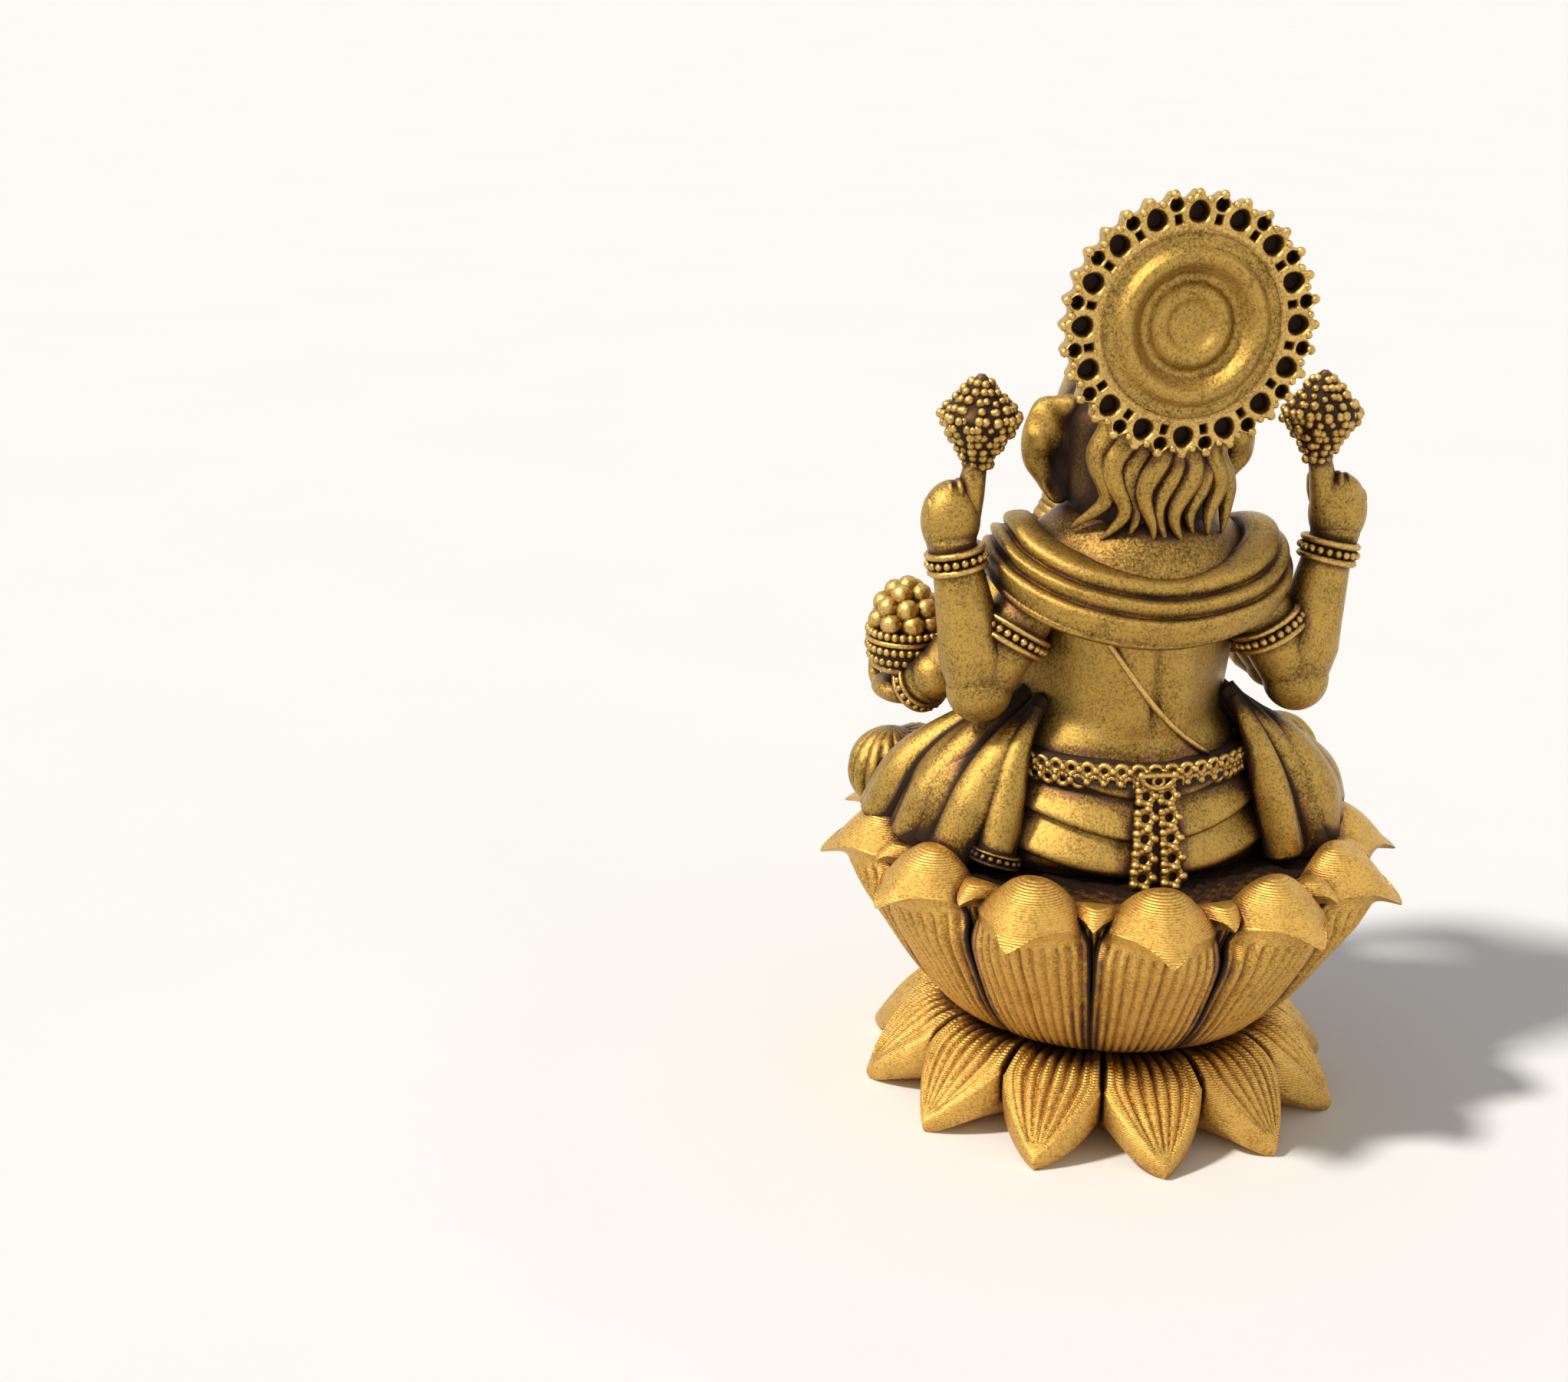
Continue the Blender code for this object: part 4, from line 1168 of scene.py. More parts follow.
@dataclass
class Head:
    """The elephant head with trunk, tusks and ears, the locks of hair and the tiered crown."""

    eye: tuple = (4.1, 56.4)
    ear_middle: tuple = (6.6, 54.7)
    ear_half: tuple = (2.9, 4.3)
    locks: int = 9
    lock_foot: float = 47.7
    lock_top: float = 58.9
    crown_y: float = -1.0

    def skull(self) -> Shell:
        """Two forehead domes and eye hollows as Gaussian swells, with plain eyes in the hollows.

        Returns:
            The skull with eyes and lids.
        """
        points, _, turn = level_rings(HEAD, 80, 140)
        front = ramp(-np.sin(turn), 0.1, 0.7)
        x, z = np.abs(points[..., 0]), points[..., 2]
        dome = bell(x - 2.6, 2.0) * bell(z - 59.6, 1.9)
        hollow = bell(x - 4.2, 1.2) * bell(z - self.eye[1], 1.0)
        points[..., 1] -= front * (0.5 * dome - 0.45 * hollow)
        behind = ramp(np.sin(turn), -0.3, 0.2) * ramp(z, 50.0, 52.0)
        shells = [lattice(points, groove=front * hollow * 0.7 + behind * 0.55)]
        eye = np.array([self.eye[0], on_oval(HEAD, *self.eye, -1.0) + 0.25, self.eye[1]])
        lid = eye + np.array([0.0, 0.1, 0.55])
        for side in Side:
            shells.append(blob(side.turn(eye), (0.95, 0.5, 0.48)))
            shells.append(blob(side.turn(lid), (1.2, 0.55, 0.28)))
        return merge(shells)

    def trunk(self) -> Shell:
        """A tapering tube that curls to the bowl, with rings of wrinkles.

        Returns:
            The closed tube.
        """
        rows = 200
        share = np.linspace(0.0, 1.0, rows)
        radius = np.interp(share, (0.0, 0.06, 0.3, 0.6, 0.96, 1.0), (2.2, 3.1, 2.8, 2.1, 1.3, 0.7))
        cut = 1.0 - ribs(share * 2.0 - 1.0, 36.0, 0.5)[:, None]
        path = through(TRUNK_LINE, rows)
        return sweep(path, radius, radius, (0.0, -1.0, 0.0), 44, 1.0 - 0.06 * cut, cut * 0.8)

    def tusk(self) -> Shell:
        """A short tapering tube with a round point."""
        radius = rounded(40, 1.05, 0.4, 0.1)
        return sweep(through(TUSK_LINE, len(radius)), radius, radius, around=28)

    def ear(self) -> Shell:
        """A flap: a (share, depth) profile turned, stretched to an oval and made lumpy at its rim.

        Returns:
            The left ear.
        """
        share, depth = through(EAR_PROFILE, 64).T[:, :, None]
        turn = steps(120)
        lobes = share * (1.0 + 0.07 * np.sin(3.0 * turn + 0.6) - 0.04 * np.sin(5.0 * turn))
        x = self.ear_middle[0] + self.ear_half[0] * np.cos(turn) * lobes
        z = self.ear_middle[1] + self.ear_half[1] * np.sin(turn) * lobes
        hollow = bell(x - self.ear_middle[0], 1.0) * bell(z - 52.6, 2.3) * ramp(depth, 0.6, 1.2)
        wave = 0.35 * np.sin(2.0 * turn + 1.0) * share * (1.0 - share)
        flap = xyz(x, depth + wave - 0.9 * hollow - 0.12 * (x - 7.2), z)
        crease = wobble(flap, 1.9, 0.7)
        flap[..., 1] += 0.45 * crease * ramp(share, 0.0, 0.5)
        return lattice(flap, groove=np.clip(hollow * 0.6 - 0.25 * np.minimum(crease, 0.0), 0.0, 1.0))

    def lock(self, number: int, place: float) -> Shell:
        """A lock of hair that sways as a sine of its way down and tapers to a point.

        Args:
            number: its number, which sets how it sways.
            place: where it starts across the head, from -1 to 1.

        Returns:
            The scored tube.
        """
        share = np.linspace(0.0, 1.0, 70)
        sway = (0.66 + 0.22 * math.sin(3.1 * number)) * np.sin(8.4 * share + 0.75 * number - 1.0)
        flick = 0.9 * place * ramp(share, 0.7, 1.0)
        x = place * (4.2 + share) + sway * ramp(share, 0.1, 0.4) + flick
        y = 7.1 - 0.06 * x**2 + 0.4 * np.sin(math.pi * share) + (0.25 if number % 2 else -0.1)
        end = self.lock_foot + 0.9 * abs(math.sin(2.3 * number)) + 0.8 * abs(place) ** 3
        z = self.lock_top - (self.lock_top - end) * share
        taper = np.clip(share / 0.06, 0.3, 1.0) * np.clip((1.0 - share) / 0.5, 0.0, 1.0) ** 0.75
        radius = 0.92 * taper + 0.07
        strand = ribs(steps(32) / math.pi - 1.0, 8.0, 0.8)
        return sweep(xyz(x, y, z), radius, radius * 1.1, BACK, 32, 1.0 - 0.07 * (1.0 - strand))

    def hair(self) -> Shell:
        """Wavy locks over a plain backing."""
        backing = lattice(level_rings(HAIR_BACKING, 40, 80)[0], groove=0.62)
        return merge([backing, *(self.lock(*row) for row in enumerate(np.linspace(-1.0, 1.0, self.locks)))])

    def crown(self) -> Shell:
        """A turned stack of tiers with a row of beads on each.

        Returns:
            The crown with its beads.
        """
        shells = [lathe(through(CROWN_PROFILE, 110), 100, (0.0, self.crown_y, 0.0))]
        for radius, height, count, size in CROWN_BEADS:
            shells.append(beads(circle(radius, height, steps(count), (0.0, self.crown_y)), size))
        return merge(shells)

    def build(self, shop: Workshop) -> None:
        """Adds the head's pieces."""
        shop.add("skull", self.skull(), FIGURE_GOLD, "head")
        shop.add("wrinkled_trunk", self.trunk(), FIGURE_GOLD, "trunk")
        shop.add("wavy_hair", self.hair(), FIGURE_GOLD, "hair")
        shop.add("tiered_crown", self.crown(), ORNAMENT_GOLD, "crown")
        shop.pair("tusk_point", self.tusk(), FIGURE_GOLD, "tusk")
        shop.pair("ear_flap", self.ear(), FIGURE_GOLD, "ear")


# Radius and y, from the middle of the front round the edge to the middle of the back
DISC_PROFILE = (
    (0.05, 9.0), (6.5, 9.0), (6.95, 9.15), (7.0, 10.1), (6.9, 10.3), (6.6, 10.36), (6.3, 10.36),
    (6.05, 10.46), (5.8, 10.7), (5.5, 10.95), (5.1, 11.0), (4.7, 10.78), (4.2, 10.2), (3.8, 9.86),
    (3.4, 9.9), (3.0, 10.3), (2.6, 10.5), (2.1, 10.36), (1.6, 10.02), (1.2, 9.92), (0.6, 10.06), (0.05, 10.1),
)
PEG_PROFILE = ((0.05, 2.0), (1.4, 2.1), (1.55, 2.6), (1.5, 5.5), (1.55, 8.2), (1.7, 8.8), (0.05, 8.9))


@dataclass
class Halo:
    """The dished disc behind the head, its pierced rim of loops and the post that carries it."""

    height: float = 65.7
    rim_y: float = 9.8
    rim_thick: float = 1.0
    periods: int = 16
    inner: float = 6.9
    limit: float = 10.15
    large_at: float = 8.4
    large_hole: float = 0.7
    slot_at: float = 7.95
    slot_half: tuple = (0.2, 0.28)
    high_at: float = 9.05
    high_hole: float = 0.44

    def turned(self, profile: Sequence, rows: int, around: int) -> Shell:
        """A shape turned about the halo's middle line."""
        return lathe(through(profile, rows), around, (0.0, 0.0, self.height), "y")

    def spots(self, radius: float, offset: float, lift: float) -> Array:
        """A centre for each period on a circle, turned by a share of a period and lifted to the back."""
        turn = steps(self.periods) + offset * TURN / self.periods
        return xyz(radius * np.cos(turn), self.rim_y + lift, self.height + radius * np.sin(turn))

    def rim(self) -> Shell:
        """A plate with blind holes: round wire sqrt(1 - (1 - d)^2) rises with the way d to the nearest hole.

        Each period has a large hole, a slot between it and the next, and an outer hole above the
        slot. The outer edge waves twice a period and carries ball finials.

        Returns:
            The plate, its finials and a collar round the disc.
        """
        turn = steps(1120)
        phase = (turn * self.periods / TURN + 0.5) % 1.0 - 0.5
        wave = 0.5 + 0.5 * np.cos(4.0 * math.pi * phase)
        outer = self.limit - 0.85 + 0.62 * wave**1.3
        radius = self.inner + (outer - self.inner) * np.linspace(0.0, 1.0, 52)[:, None]
        pitch = TURN * radius / self.periods
        far = (np.abs(phase) - 0.5) * pitch
        over = radius - self.large_at
        large = np.hypot(phase * pitch * (1.0 + 0.16 * over), over * 0.95) - self.large_hole
        slot = np.maximum(np.abs(far) - self.slot_half[0], np.abs(radius - self.slot_at) - self.slot_half[1])
        high = np.hypot(far, radius - self.high_at) - self.high_hole
        nearest = np.minimum(np.minimum(large, slot), high)
        way = np.minimum(nearest, outer - radius + 0.02)
        wire = np.sqrt(1.0 - (1.0 - np.clip(way / 0.3, 0.0, 1.0)) ** 2)
        hole = ramp(-nearest, 0.0, 0.14)
        x, z = radius * np.cos(turn), self.height + radius * np.sin(turn)
        behind = xyz(x, self.rim_y + 0.45 * wire - 0.75 * hole, z)
        before = xyz(x, self.rim_y - self.rim_thick + 0.2 * hole - 0.35 * wire, z)[::-2]
        groove = np.concatenate([hole, hole[::-2]])
        shells = [lattice(np.concatenate([behind, before]), rows_close=True, groove=groove)]
        for reach, offset, lift, size, detail in (
            (self.limit - 0.38, 0.5, 0.15, 0.38, (12, 8)),
            (self.limit - 0.42, 0.0, 0.15, 0.36, (12, 8)),
            (9.3, -0.21, 0.3, 0.3, (10, 7)),
            (9.3, 0.21, 0.3, 0.3, (10, 7)),
        ):
            shells.append(beads(self.spots(reach, offset, lift), size, *detail))
        middle = (0.0, self.rim_y + 0.16, self.height)
        collar = copies(hoop(7.2, 0.34, 200, 12), [middle], 1.0, facing(np.array([BACK])))
        return merge([*shells, collar])

    def build(self, shop: Workshop) -> None:
        """Adds the halo's pieces."""
        shop.add("dished_disc", self.turned(DISC_PROFILE, 150, 180), FIGURE_GOLD, "halo_disc", shade_and_patina=0.35)
        shop.add("pierced_rim", self.rim(), ORNAMENT_GOLD, "halo_rim", shade_and_patina=0.3)
        shop.add("halo_peg", self.turned(PEG_PROFILE, 40, 40), ORNAMENT_GOLD, "halo_post")


SHAWL_HALF = (
    (-6.8, -6.0, 44.0), (-9.6, -2.4, 46.4), (-10.4, 1.6, 46.8), (-9.4, 5.0, 45.6), (-5.8, 7.8, 44.2),
)
SHAWL_BACK = (0.0, 8.9, 43.4)
TASSEL_LINE = ((0.0, 9.7, 29.0), (0.0, 10.4, 26.4), (0.0, 11.0, 24.0), (0.0, 11.3, 21.7))
# Growth from the belt's oval and height, once round the strap
STRAP_SECTION = ((-0.7, 28.9), (-0.35, 28.9), (-0.3, 29.8), (-0.35, 30.7), (-0.7, 30.7))
# Each fold's line from the waist down, with its first and last radius
LEFT_FOLDS = (
    (((8.3, 4.0, 34.2), (10.1, 5.5, 31.2), (11.2, 6.4, 26.8), (12.2, 7.3, 22.2)), 0.6, 1.65),
    (((7.4, 2.6, 34.4), (10.4, 4.2, 31.4), (13.0, 4.6, 27.0), (14.8, 4.6, 22.4)), 0.8, 2.5),
    (((7.8, 0.6, 34.6), (11.6, 2.0, 31.6), (15.2, 2.0, 27.2), (17.0, 1.2, 22.6)), 0.9, 2.6),
    (((8.0, -1.4, 34.2), (12.4, -0.8, 31.4), (16.6, -1.6, 27.6), (18.6, -3.0, 23.0)), 1.0, 2.6),
    (((7.8, 0.4, 34.4), (10.6, 1.2, 31.2), (13.4, 1.2, 27.0), (14.8, 0.6, 22.8)), 1.0, 4.4),
)
RIGHT_FOLDS = (
    (((-8.0, 4.4, 34.8), (-9.3, 6.0, 31.8), (-10.8, 7.0, 27.4), (-12.2, 7.6, 22.2)), 0.5, 1.7),
    (((-7.8, 2.8, 35.0), (-10.8, 4.4, 31.2), (-13.4, 4.8, 26.4), (-15.0, 4.6, 21.7)), 0.8, 2.6),
    (((-7.6, 0.6, 34.6), (-12.4, 2.4, 30.6), (-16.0, 1.6, 26.8), (-18.0, -0.6, 23.2)), 0.9, 2.7),
    (((-7.6, 1.6, 34.4), (-11.4, 3.2, 30.8), (-13.9, 3.2, 26.4), (-15.2, 2.4, 21.8)), 0.9, 4.2),
)


@dataclass
class Dress:
    """The shawl, sacred thread, necklace, belt with buckle and tassel, and the two hanging sashes."""

    belt_wide: float = 10.75
    belt_deep: float = 9.25
    belt_y: float = 0.2
    belt_z: float = 29.8
    links: int = 50
    shawl_lean: float = math.radians(36.0)
    neck_y: float = 1.0
    thread_radius: float = 0.27
    thread_sag: float = 1.1

    def shawl(self) -> Shell:
        """A folded scarf in a U that leans in to the neck: path + tall sin(t) lift + thick cos(t) away.

        Returns:
            The closed scarf.
        """
        rows = 180
        share = np.linspace(0.0, 1.0, rows)
        path = through([*SHAWL_HALF, SHAWL_BACK, *Side.RIGHT.turn(SHAWL_HALF)[::-1]], rows)
        upright = np.array(UPRIGHT)
        out = path * (1.0 - upright) - np.array([0.0, self.neck_y, 0.0])
        out /=np.linalg.norm(out, axis=1, keepdims=True)
        sine, cosine = math.sin(self.shawl_lean), math.cos(self.shawl_lean)
        lift = upright * cosine - out * sine
        away = out * cosine + upright * sine
        tall = np.interp(share, (0.0, 0.1, 0.3, 0.55, 0.85, 1.0), (1.0, 2.1, 2.9, 3.3, 2.9, 1.3))[:, None]
        turn = steps(160)
        level = np.sin(turn) + 0.14 * np.sin(4.2 * share + 0.6)[:, None]
        cut = 1.0 - ribs(level + 0.14 * np.sin(3.0 * level + 0.5), 3.0, 0.85)
        thick = (1.5 + (0.72 + 0.28 * level) * 0.45) * (tall / 2.9) ** 0.3 * np.cos(turn)
        thick = thick * (1.0 - 0.46 * cut * ramp(np.cos(turn), 0.0, 0.3))
        points = path[:, None] + (tall * np.sin(turn))[..., None] * lift[:, None]
        return lattice(points + thick[..., None] * away[:, None], groove=cut**2 * 0.42)

    def thread(self, way: float, start: Row, end: Row) -> Shell:
        """The sacred thread, sagging as a half sine.

        Args:
            way: 1 for the back or -1 for the front.
            start: x and z of its upper end.
            end: x and z of its lower end.

        Returns:
            The thread on the torso.
        """
        share = np.linspace(0.0, 1.0, 120)
        x, z = (first + (last - first) * share for first, last in zip(start, end))
        z = z - self.thread_sag * np.sin(math.pi * share)
        path = xyz(x, on_oval(TORSO, x, z, way) + way * 0.3, z)
        return sweep(path, self.thread_radius, self.thread_radius, (0.3, 0.2, 1.0), 18)

    def necklace(self) -> Shell:
        """A string of beads in a parabola on the chest.

        Returns:
            The beads and their string.
        """
        half = 4.6
        x = np.linspace(-half, half, 11)
        z = 42.6 + 2.2 * (x / half) ** 2
        path = xyz(x, on_oval(TORSO, x, z, -1.0) - 0.75, z)
        string = sweep(through(path, 60), 0.25, 0.25, (0.0, -1.0, 0.2), 10)
        return merge([beads(path, 0.62, 14, 9), string])

    def on_belt(self, count: int, grow: float, height: float) -> tuple[Array, Array]:
        """Points on the belt's oval and the directions away from it.

        Args:
            count: points.
            grow: how far outside the oval.
            height: of the points.

        Returns:
            The points and the directions.
        """
        turn = steps(count)
        wide, deep = self.belt_wide + grow, self.belt_deep + grow
        out = xyz(np.cos(turn) / wide, np.sin(turn) / deep, 0.0)
        return xyz(wide * np.cos(turn), self.belt_y + deep * np.sin(turn), height), out

    def belt(self) -> Shell:
        """A thin strap under two rows of linked rings, with balls where the links meet.

        Returns:
            The strap, the rings and the balls.
        """
        count = self.links * 2
        strap = np.array([self.on_belt(200, *corner)[0] for corner in STRAP_SECTION])
        shells = [lattice(strap, rows_close=True, groove=0.3)]
        for height, shift in ((29.35, 0), (30.35, 1)):
            places, out = self.on_belt(count, 0.0, height)
            rings, knots = slice(shift, None, 2), slice(1 - shift, None, 2)
            shells.append(copies(hoop(0.46, 0.25, 16, 7), places[rings], 1.0, facing(out[rings])))
            shells.append(beads(places[knots] + out[knots] * 1.6, 0.35))
        return merge([*shells, beads(self.on_belt(count, 0.1, self.belt_z)[0], 0.25)])

    def buckle(self) -> Shell:
        """A crescent cup: an arc of wire closed by a bar, with a small ring inside.

        Returns:
            The buckle at the back.
        """
        turn = np.linspace(math.pi, TURN, 40)
        arc = xyz(1.35 * np.cos(turn), 10.2, 30.3 + 1.05 * np.sin(turn))
        bar = np.linspace(arc[0], arc[-1], 30)
        eye = copies(hoop(0.42, 0.16, 18, 8), [(0.0, 10.3, 29.85)], 1.0, facing(np.array([BACK])))
        plate = blob((0.0, 9.95, 29.95), (1.2, 0.3, 0.7), 30, 16).shaded(0.9)
        wire = [sweep(arc, 0.26, 0.3, BACK, 16), sweep(bar, 0.24, 0.28, BACK, 16)]
        return merge([plate, eye, *wire, beads(arc[[0, -1]], 0.34, 10, 7)])

    def flower(self, petals: int) -> Shell:
        """A link of unit size seen square on: a small wire ring with a round of balls on it."""
        return merge([hoop(0.6, 0.31, 16, 8), beads(circle(1.0, 0.15, steps(petals)) * 0.74, 0.38, 10, 6)])

    def tassel(self) -> Shell:
        """A widening strip that hangs from the buckle with five rows of two flowers.

        Returns:
            The strip and its flowers.
        """
        rows = 80
        path = through(TASSEL_LINE, rows)
        half = np.linspace(1.6, 2.45, rows)
        shells = [sweep(path, half * 0.7, 0.2, BACK, 40, groove=0.75)]
        side, lift = path_axes(path, BACK)
        index = (np.linspace(0.07, 0.93, 5) * (rows - 1)).astype(int)
        for way in (-1.0, 1.0):
            places = path[index] + side[index] * (way * half[index] * 0.53)[:, None] + lift[index] * 0.3
            shells.append(copies(self.flower(5), places, 0.66 + half[index] * 0.19, facing(lift[index])))
        return merge(shells)

    def fold(self, line: Sequence, start: float, end: float) -> Shell:
        """A broad rounded fold of hanging cloth, scored along its length.

        Args:
            line: points from the waist down.
            start: radius at the waist.
            end: radius at its lower end.

        Returns:
            The fold, dark where it leaves the waist.
        """
        rows, around = 70, 72
        share = np.linspace(0.0, 1.0, rows)
        cut = 1.0 - ribs(np.sin(steps(around)) + 0.2 * np.sin(4.0 * share)[:, None], 1.6, 0.9)
        size = start + (end - start) * ramp(share, 0.0, 0.75)
        relief = 1.0 - 0.1 * cut * ramp(share, 0.2, 0.6)[:, None]
        shade = cut**3 * 0.3 + 0.8 * (1.0 - ramp(share, 0.05, 0.3))[:, None]
        return sweep(through(line, rows), size, size, (0.3, 1.0, 0.4), around, relief, shade)

    def build(self, shop: Workshop) -> None:
        """Adds the dress's pieces: the left sash has a beaded cuff at the end of its first fold."""
        behind = self.thread(1.0, (4.0, 40.6), (-5.0, 31.0))
        before = self.thread(-1.0, (6.2, 41.2), (-6.6, 31.4))
        cuff = band((12.05, 7.2, 22.8), (1.3, 0.7, -4.4), 1.6, 1.1, 18)
        left = merge([*(self.fold(*row) for row in LEFT_FOLDS), cuff])
        right = merge(self.fold(*row) for row in RIGHT_FOLDS)
        shop.add("rolled_shawl", self.shawl(), FIGURE_GOLD, "shawl", shade_and_patina=0.7)
        shop.add("thread_behind", behind, ORNAMENT_GOLD, "sacred_thread_back")
        shop.add("thread_before", before, ORNAMENT_GOLD, "sacred_thread_front")
        shop.add("bead_necklace", self.necklace(), ORNAMENT_GOLD, "necklace")
        shop.add("linked_belt", self.belt(), ORNAMENT_GOLD, "belt", shade_and_patina=0.2)
        shop.add("round_buckle", self.buckle(), ORNAMENT_GOLD, "belt_buckle", shade_and_patina=0.2)
        shop.add("ring_tassel", self.tassel(), ORNAMENT_GOLD, "belt_tassel", shade_and_patina=0.2)
        shop.add("left_sash_pleats", left, FIGURE_GOLD, "left_sash", shade_and_patina=0.9)
        shop.add("right_sash_pleats", right, FIGURE_GOLD, "right_sash", shade_and_patina=0.9)


@dataclass(frozen=True)
class BentLimb:
    """Start, bend and end of an arm or leg drawn on the left, with its radii there."""

    joints: tuple
    sizes: tuple

    def band(self, part: int, share: float, grow: float, width: float, count: int) -> Shell:
        """A bracelet on the limb.

        Args:
            part: 0 for the half before the bend or 1 for the half after it.
            share: how far along that half.
            grow: how far it stands off the limb.
            width: along the limb.
            count: its beads.

        Returns:
            The bracelet, drawn on the left.
        """
        start, end = np.asarray(self.joints[part]), np.asarray(self.joints[part + 1])
        size = self.sizes[part] + (self.sizes[part + 1] - self.sizes[part]) * share
        return band(start + (end - start) * share, end - start, size + grow, width, count)

    def shell(self, up: Row, pleats: float = 0.0) -> Shell:
        """Two tubes and a ball at the bend.

        Args:
            up: rough direction of the tubes' lift.
            pleats: depth of the pleats as a share of the radius.

        Returns:
            The limb, drawn on the left.
        """
        first, bend, last = (np.asarray(joint) for joint in self.joints)
        start, middle, end = self.sizes
        thin = (start, (start + middle) * 0.51, middle * 0.9)
        near = limb((first, (first + bend) / 2, bend), thin, up, pleats)
        thick = (middle * 0.9, middle * 1.04, (middle + end) * 0.52, end)
        far = limb((bend, bend * 0.6 + last * 0.4, last), thick, up, pleats)
        joint = folded_ball(bend, middle * 1.04, pleats * 2.0) if pleats else blob(bend, (middle,) * 3)
        return merge([near, far, joint])


REAR_ARM = BentLimb(((8.9, 3.4, 43.4), (13.2, 4.2, 36.0), (15.6, 3.3, 47.6)), (2.5, 2.65, 1.75))
LEFT_ARM = BentLimb(((8.4, -2.2, 43.0), (14.8, -3.5, 34.9), (16.2, -6.4, 32.7)), (2.3, 2.15, 1.6))
RIGHT_ARM = BentLimb(((8.4, -2.2, 43.0), (14.2, -3.7, 34.9), (10.6, -10.6, 38.4)), (2.3, 2.15, 1.6))
LEG = BentLimb(((7.5, -3.0, 25.8), (17.2, -8.0, 25.2), (6.0, -13.9, 23.8)), (4.0, 3.5, 1.9))


@dataclass
class Arms:
    """Four arms with their hands, armlets and bracelets."""

    finger: float = 0.5
    band_gap: float = 0.12

    def fingers(self, lines: Iterable) -> list[Shell]:
        """Tubes with round tips."""
        radius = rounded(36, self.finger * 1.1, self.finger * 0.9, 0.14)
        return [sweep(through(line, len(radius)), radius, radius, (0.2, 1.0, 0.1), 18) for line in lines]

    def fist(self) -> Shell:
        """A smooth rounded hand with four low finger ends over its top and a thick finger along a stem.

        Returns:
            The left fist.
        """
        palm = blob((15.9, 3.2, 49.6), (2.35, 2.1, 3.1), 60, 44)
        wrist = limb(((15.6, 3.3, 46.6), (15.8, 3.3, 48.0), (15.9, 3.2, 49.6)), (1.75, 2.0, 1.5))
        stem = limb(((15.1, 3.4, 49.0), (14.5, 3.3, 51.6), (14.0, 3.0, 54.3)), (1.4, 1.15, 0.85))
        number = np.arange(4)
        places = xyz(15.5 + 0.72 * number, 3.6 - 0.1 * number, 52.0 - 0.16 * number**2)
        tips = copies(blob((0.0, 0.0, 0.0), (0.44, 1.0, 0.95), 20, 14), places, 1.0)
        thumb = ((15.2, 1.4, 49.0), (14.4, 1.5, 50.8), (14.0, 2.0, 52.6))
        return merge([palm, wrist, stem, tips, *self.fingers([thumb])])

    def offering_hand(self) -> Shell:
        """A level palm whose fingers curl up in front of the bowl."""
        lines = [((x, -9.6, 32.3), (x, -11.0, 32.7), (x, -11.3, 34.2)) for x in (14.9, 16.0, 17.1, 18.2)]
        return merge([blob((16.6, -7.8, 32.5), (2.5, 2.9, 1.25)), *self.fingers(lines)])

    def open_hand(self) -> Shell:
        """A raised palm with straight fingers and a thumb.

        Returns:
            The hand, drawn on the left.
        """
        lines = [((x, -11.6, 41.4), (x, -11.8, 43.4), (x, -11.5, 45.2)) for x in (8.5, 9.45, 10.4, 11.3)]
        thumb = ((8.6, -11.6, 39.6), (7.7, -11.9, 41.0), (7.6, -11.9, 42.3))
        return merge([blob((9.9, -11.5, 40.2), (1.9, 1.1, 2.4)), *self.fingers([*lines, thumb])])

    def build(self, shop: Workshop) -> None:
        """Adds the arms' pieces."""
        armlet = REAR_ARM.band(0, 0.42, self.band_gap, 1.8, 26)
        bracelet = REAR_ARM.band(1, 0.9, self.band_gap, 1.9, 20)
        shop.pair("raised_arm", merge([REAR_ARM.shell(BACK), self.fist()]), FIGURE_GOLD, "rear_arm", shade_and_patina=0.5)
        shop.pair("rear_armlet_beads", armlet, ORNAMENT_GOLD, "rear_armlet", shade_and_patina=0.3)
        shop.pair("rear_bracelet_beads", bracelet, ORNAMENT_GOLD, "rear_bracelet", shade_and_patina=0.3)
        fronts = {Side.LEFT: (LEFT_ARM, self.offering_hand()), Side.RIGHT: (RIGHT_ARM, self.open_hand())}
        for side, (arm, hand) in fronts.items():
            front = f"{side.word}_front"
            lowered = merge([arm.shell((0.1, 0.9, 0.3)), hand])
            shop.add(f"{side.word}_lowered_arm", lowered.mirrored(side), FIGURE_GOLD, f"{front}_arm")
            for kind, *place, width, count in (("armlet", 0, 0.55, 1.6, 24), ("bracelet", 1, 0.6, 1.3, 20)):
                ring = arm.band(*place, self.band_gap, width, count).mirrored(side)
                shop.add(f"{front}_{kind}_beads", ring, ORNAMENT_GOLD, f"{front}_{kind}", shade_and_patina=0.3)


@dataclass
class Legs:
    """The crossed legs in pleated cloth, with anklets and feet."""

    pleat_depth: float = 0.06
    band_gap: float = 0.1

    def foot(self) -> Shell:
        """A tapering foot with five toes.

        Returns:
            The left foot.
        """
        radius = rounded(40, 1.75, 1.3, 0.12)
        line = through(((6.4, -14.7, 23.5), (4.0, -15.4, 23.5), (1.8, -15.8, 23.3)), len(radius))
        number = np.arange(5)
        places = xyz(1.4 - 0.1 * number, -16.6 + 0.5 * number, 22.6 + 0.42 * number)
        toes = copies(blob((0.0, 0.0, 0.0), (0.75, 0.4, 0.36), 16, 10), places, 1.0)
        return merge([sweep(line, radius, radius * 0.95, around=32), toes])

    def build(self, shop: Workshop) -> None:
        """Adds the legs' pieces."""
        shop.pair("pleated_leg", LEG.shell(UPRIGHT, self.pleat_depth), FIGURE_GOLD, "leg")
        shop.pair("toed_foot", self.foot(), FIGURE_GOLD, "foot")
        shop.pair("anklet_beads", LEG.band(1, 0.87, self.band_gap, 1.4, 24), ORNAMENT_GOLD, "anklet")


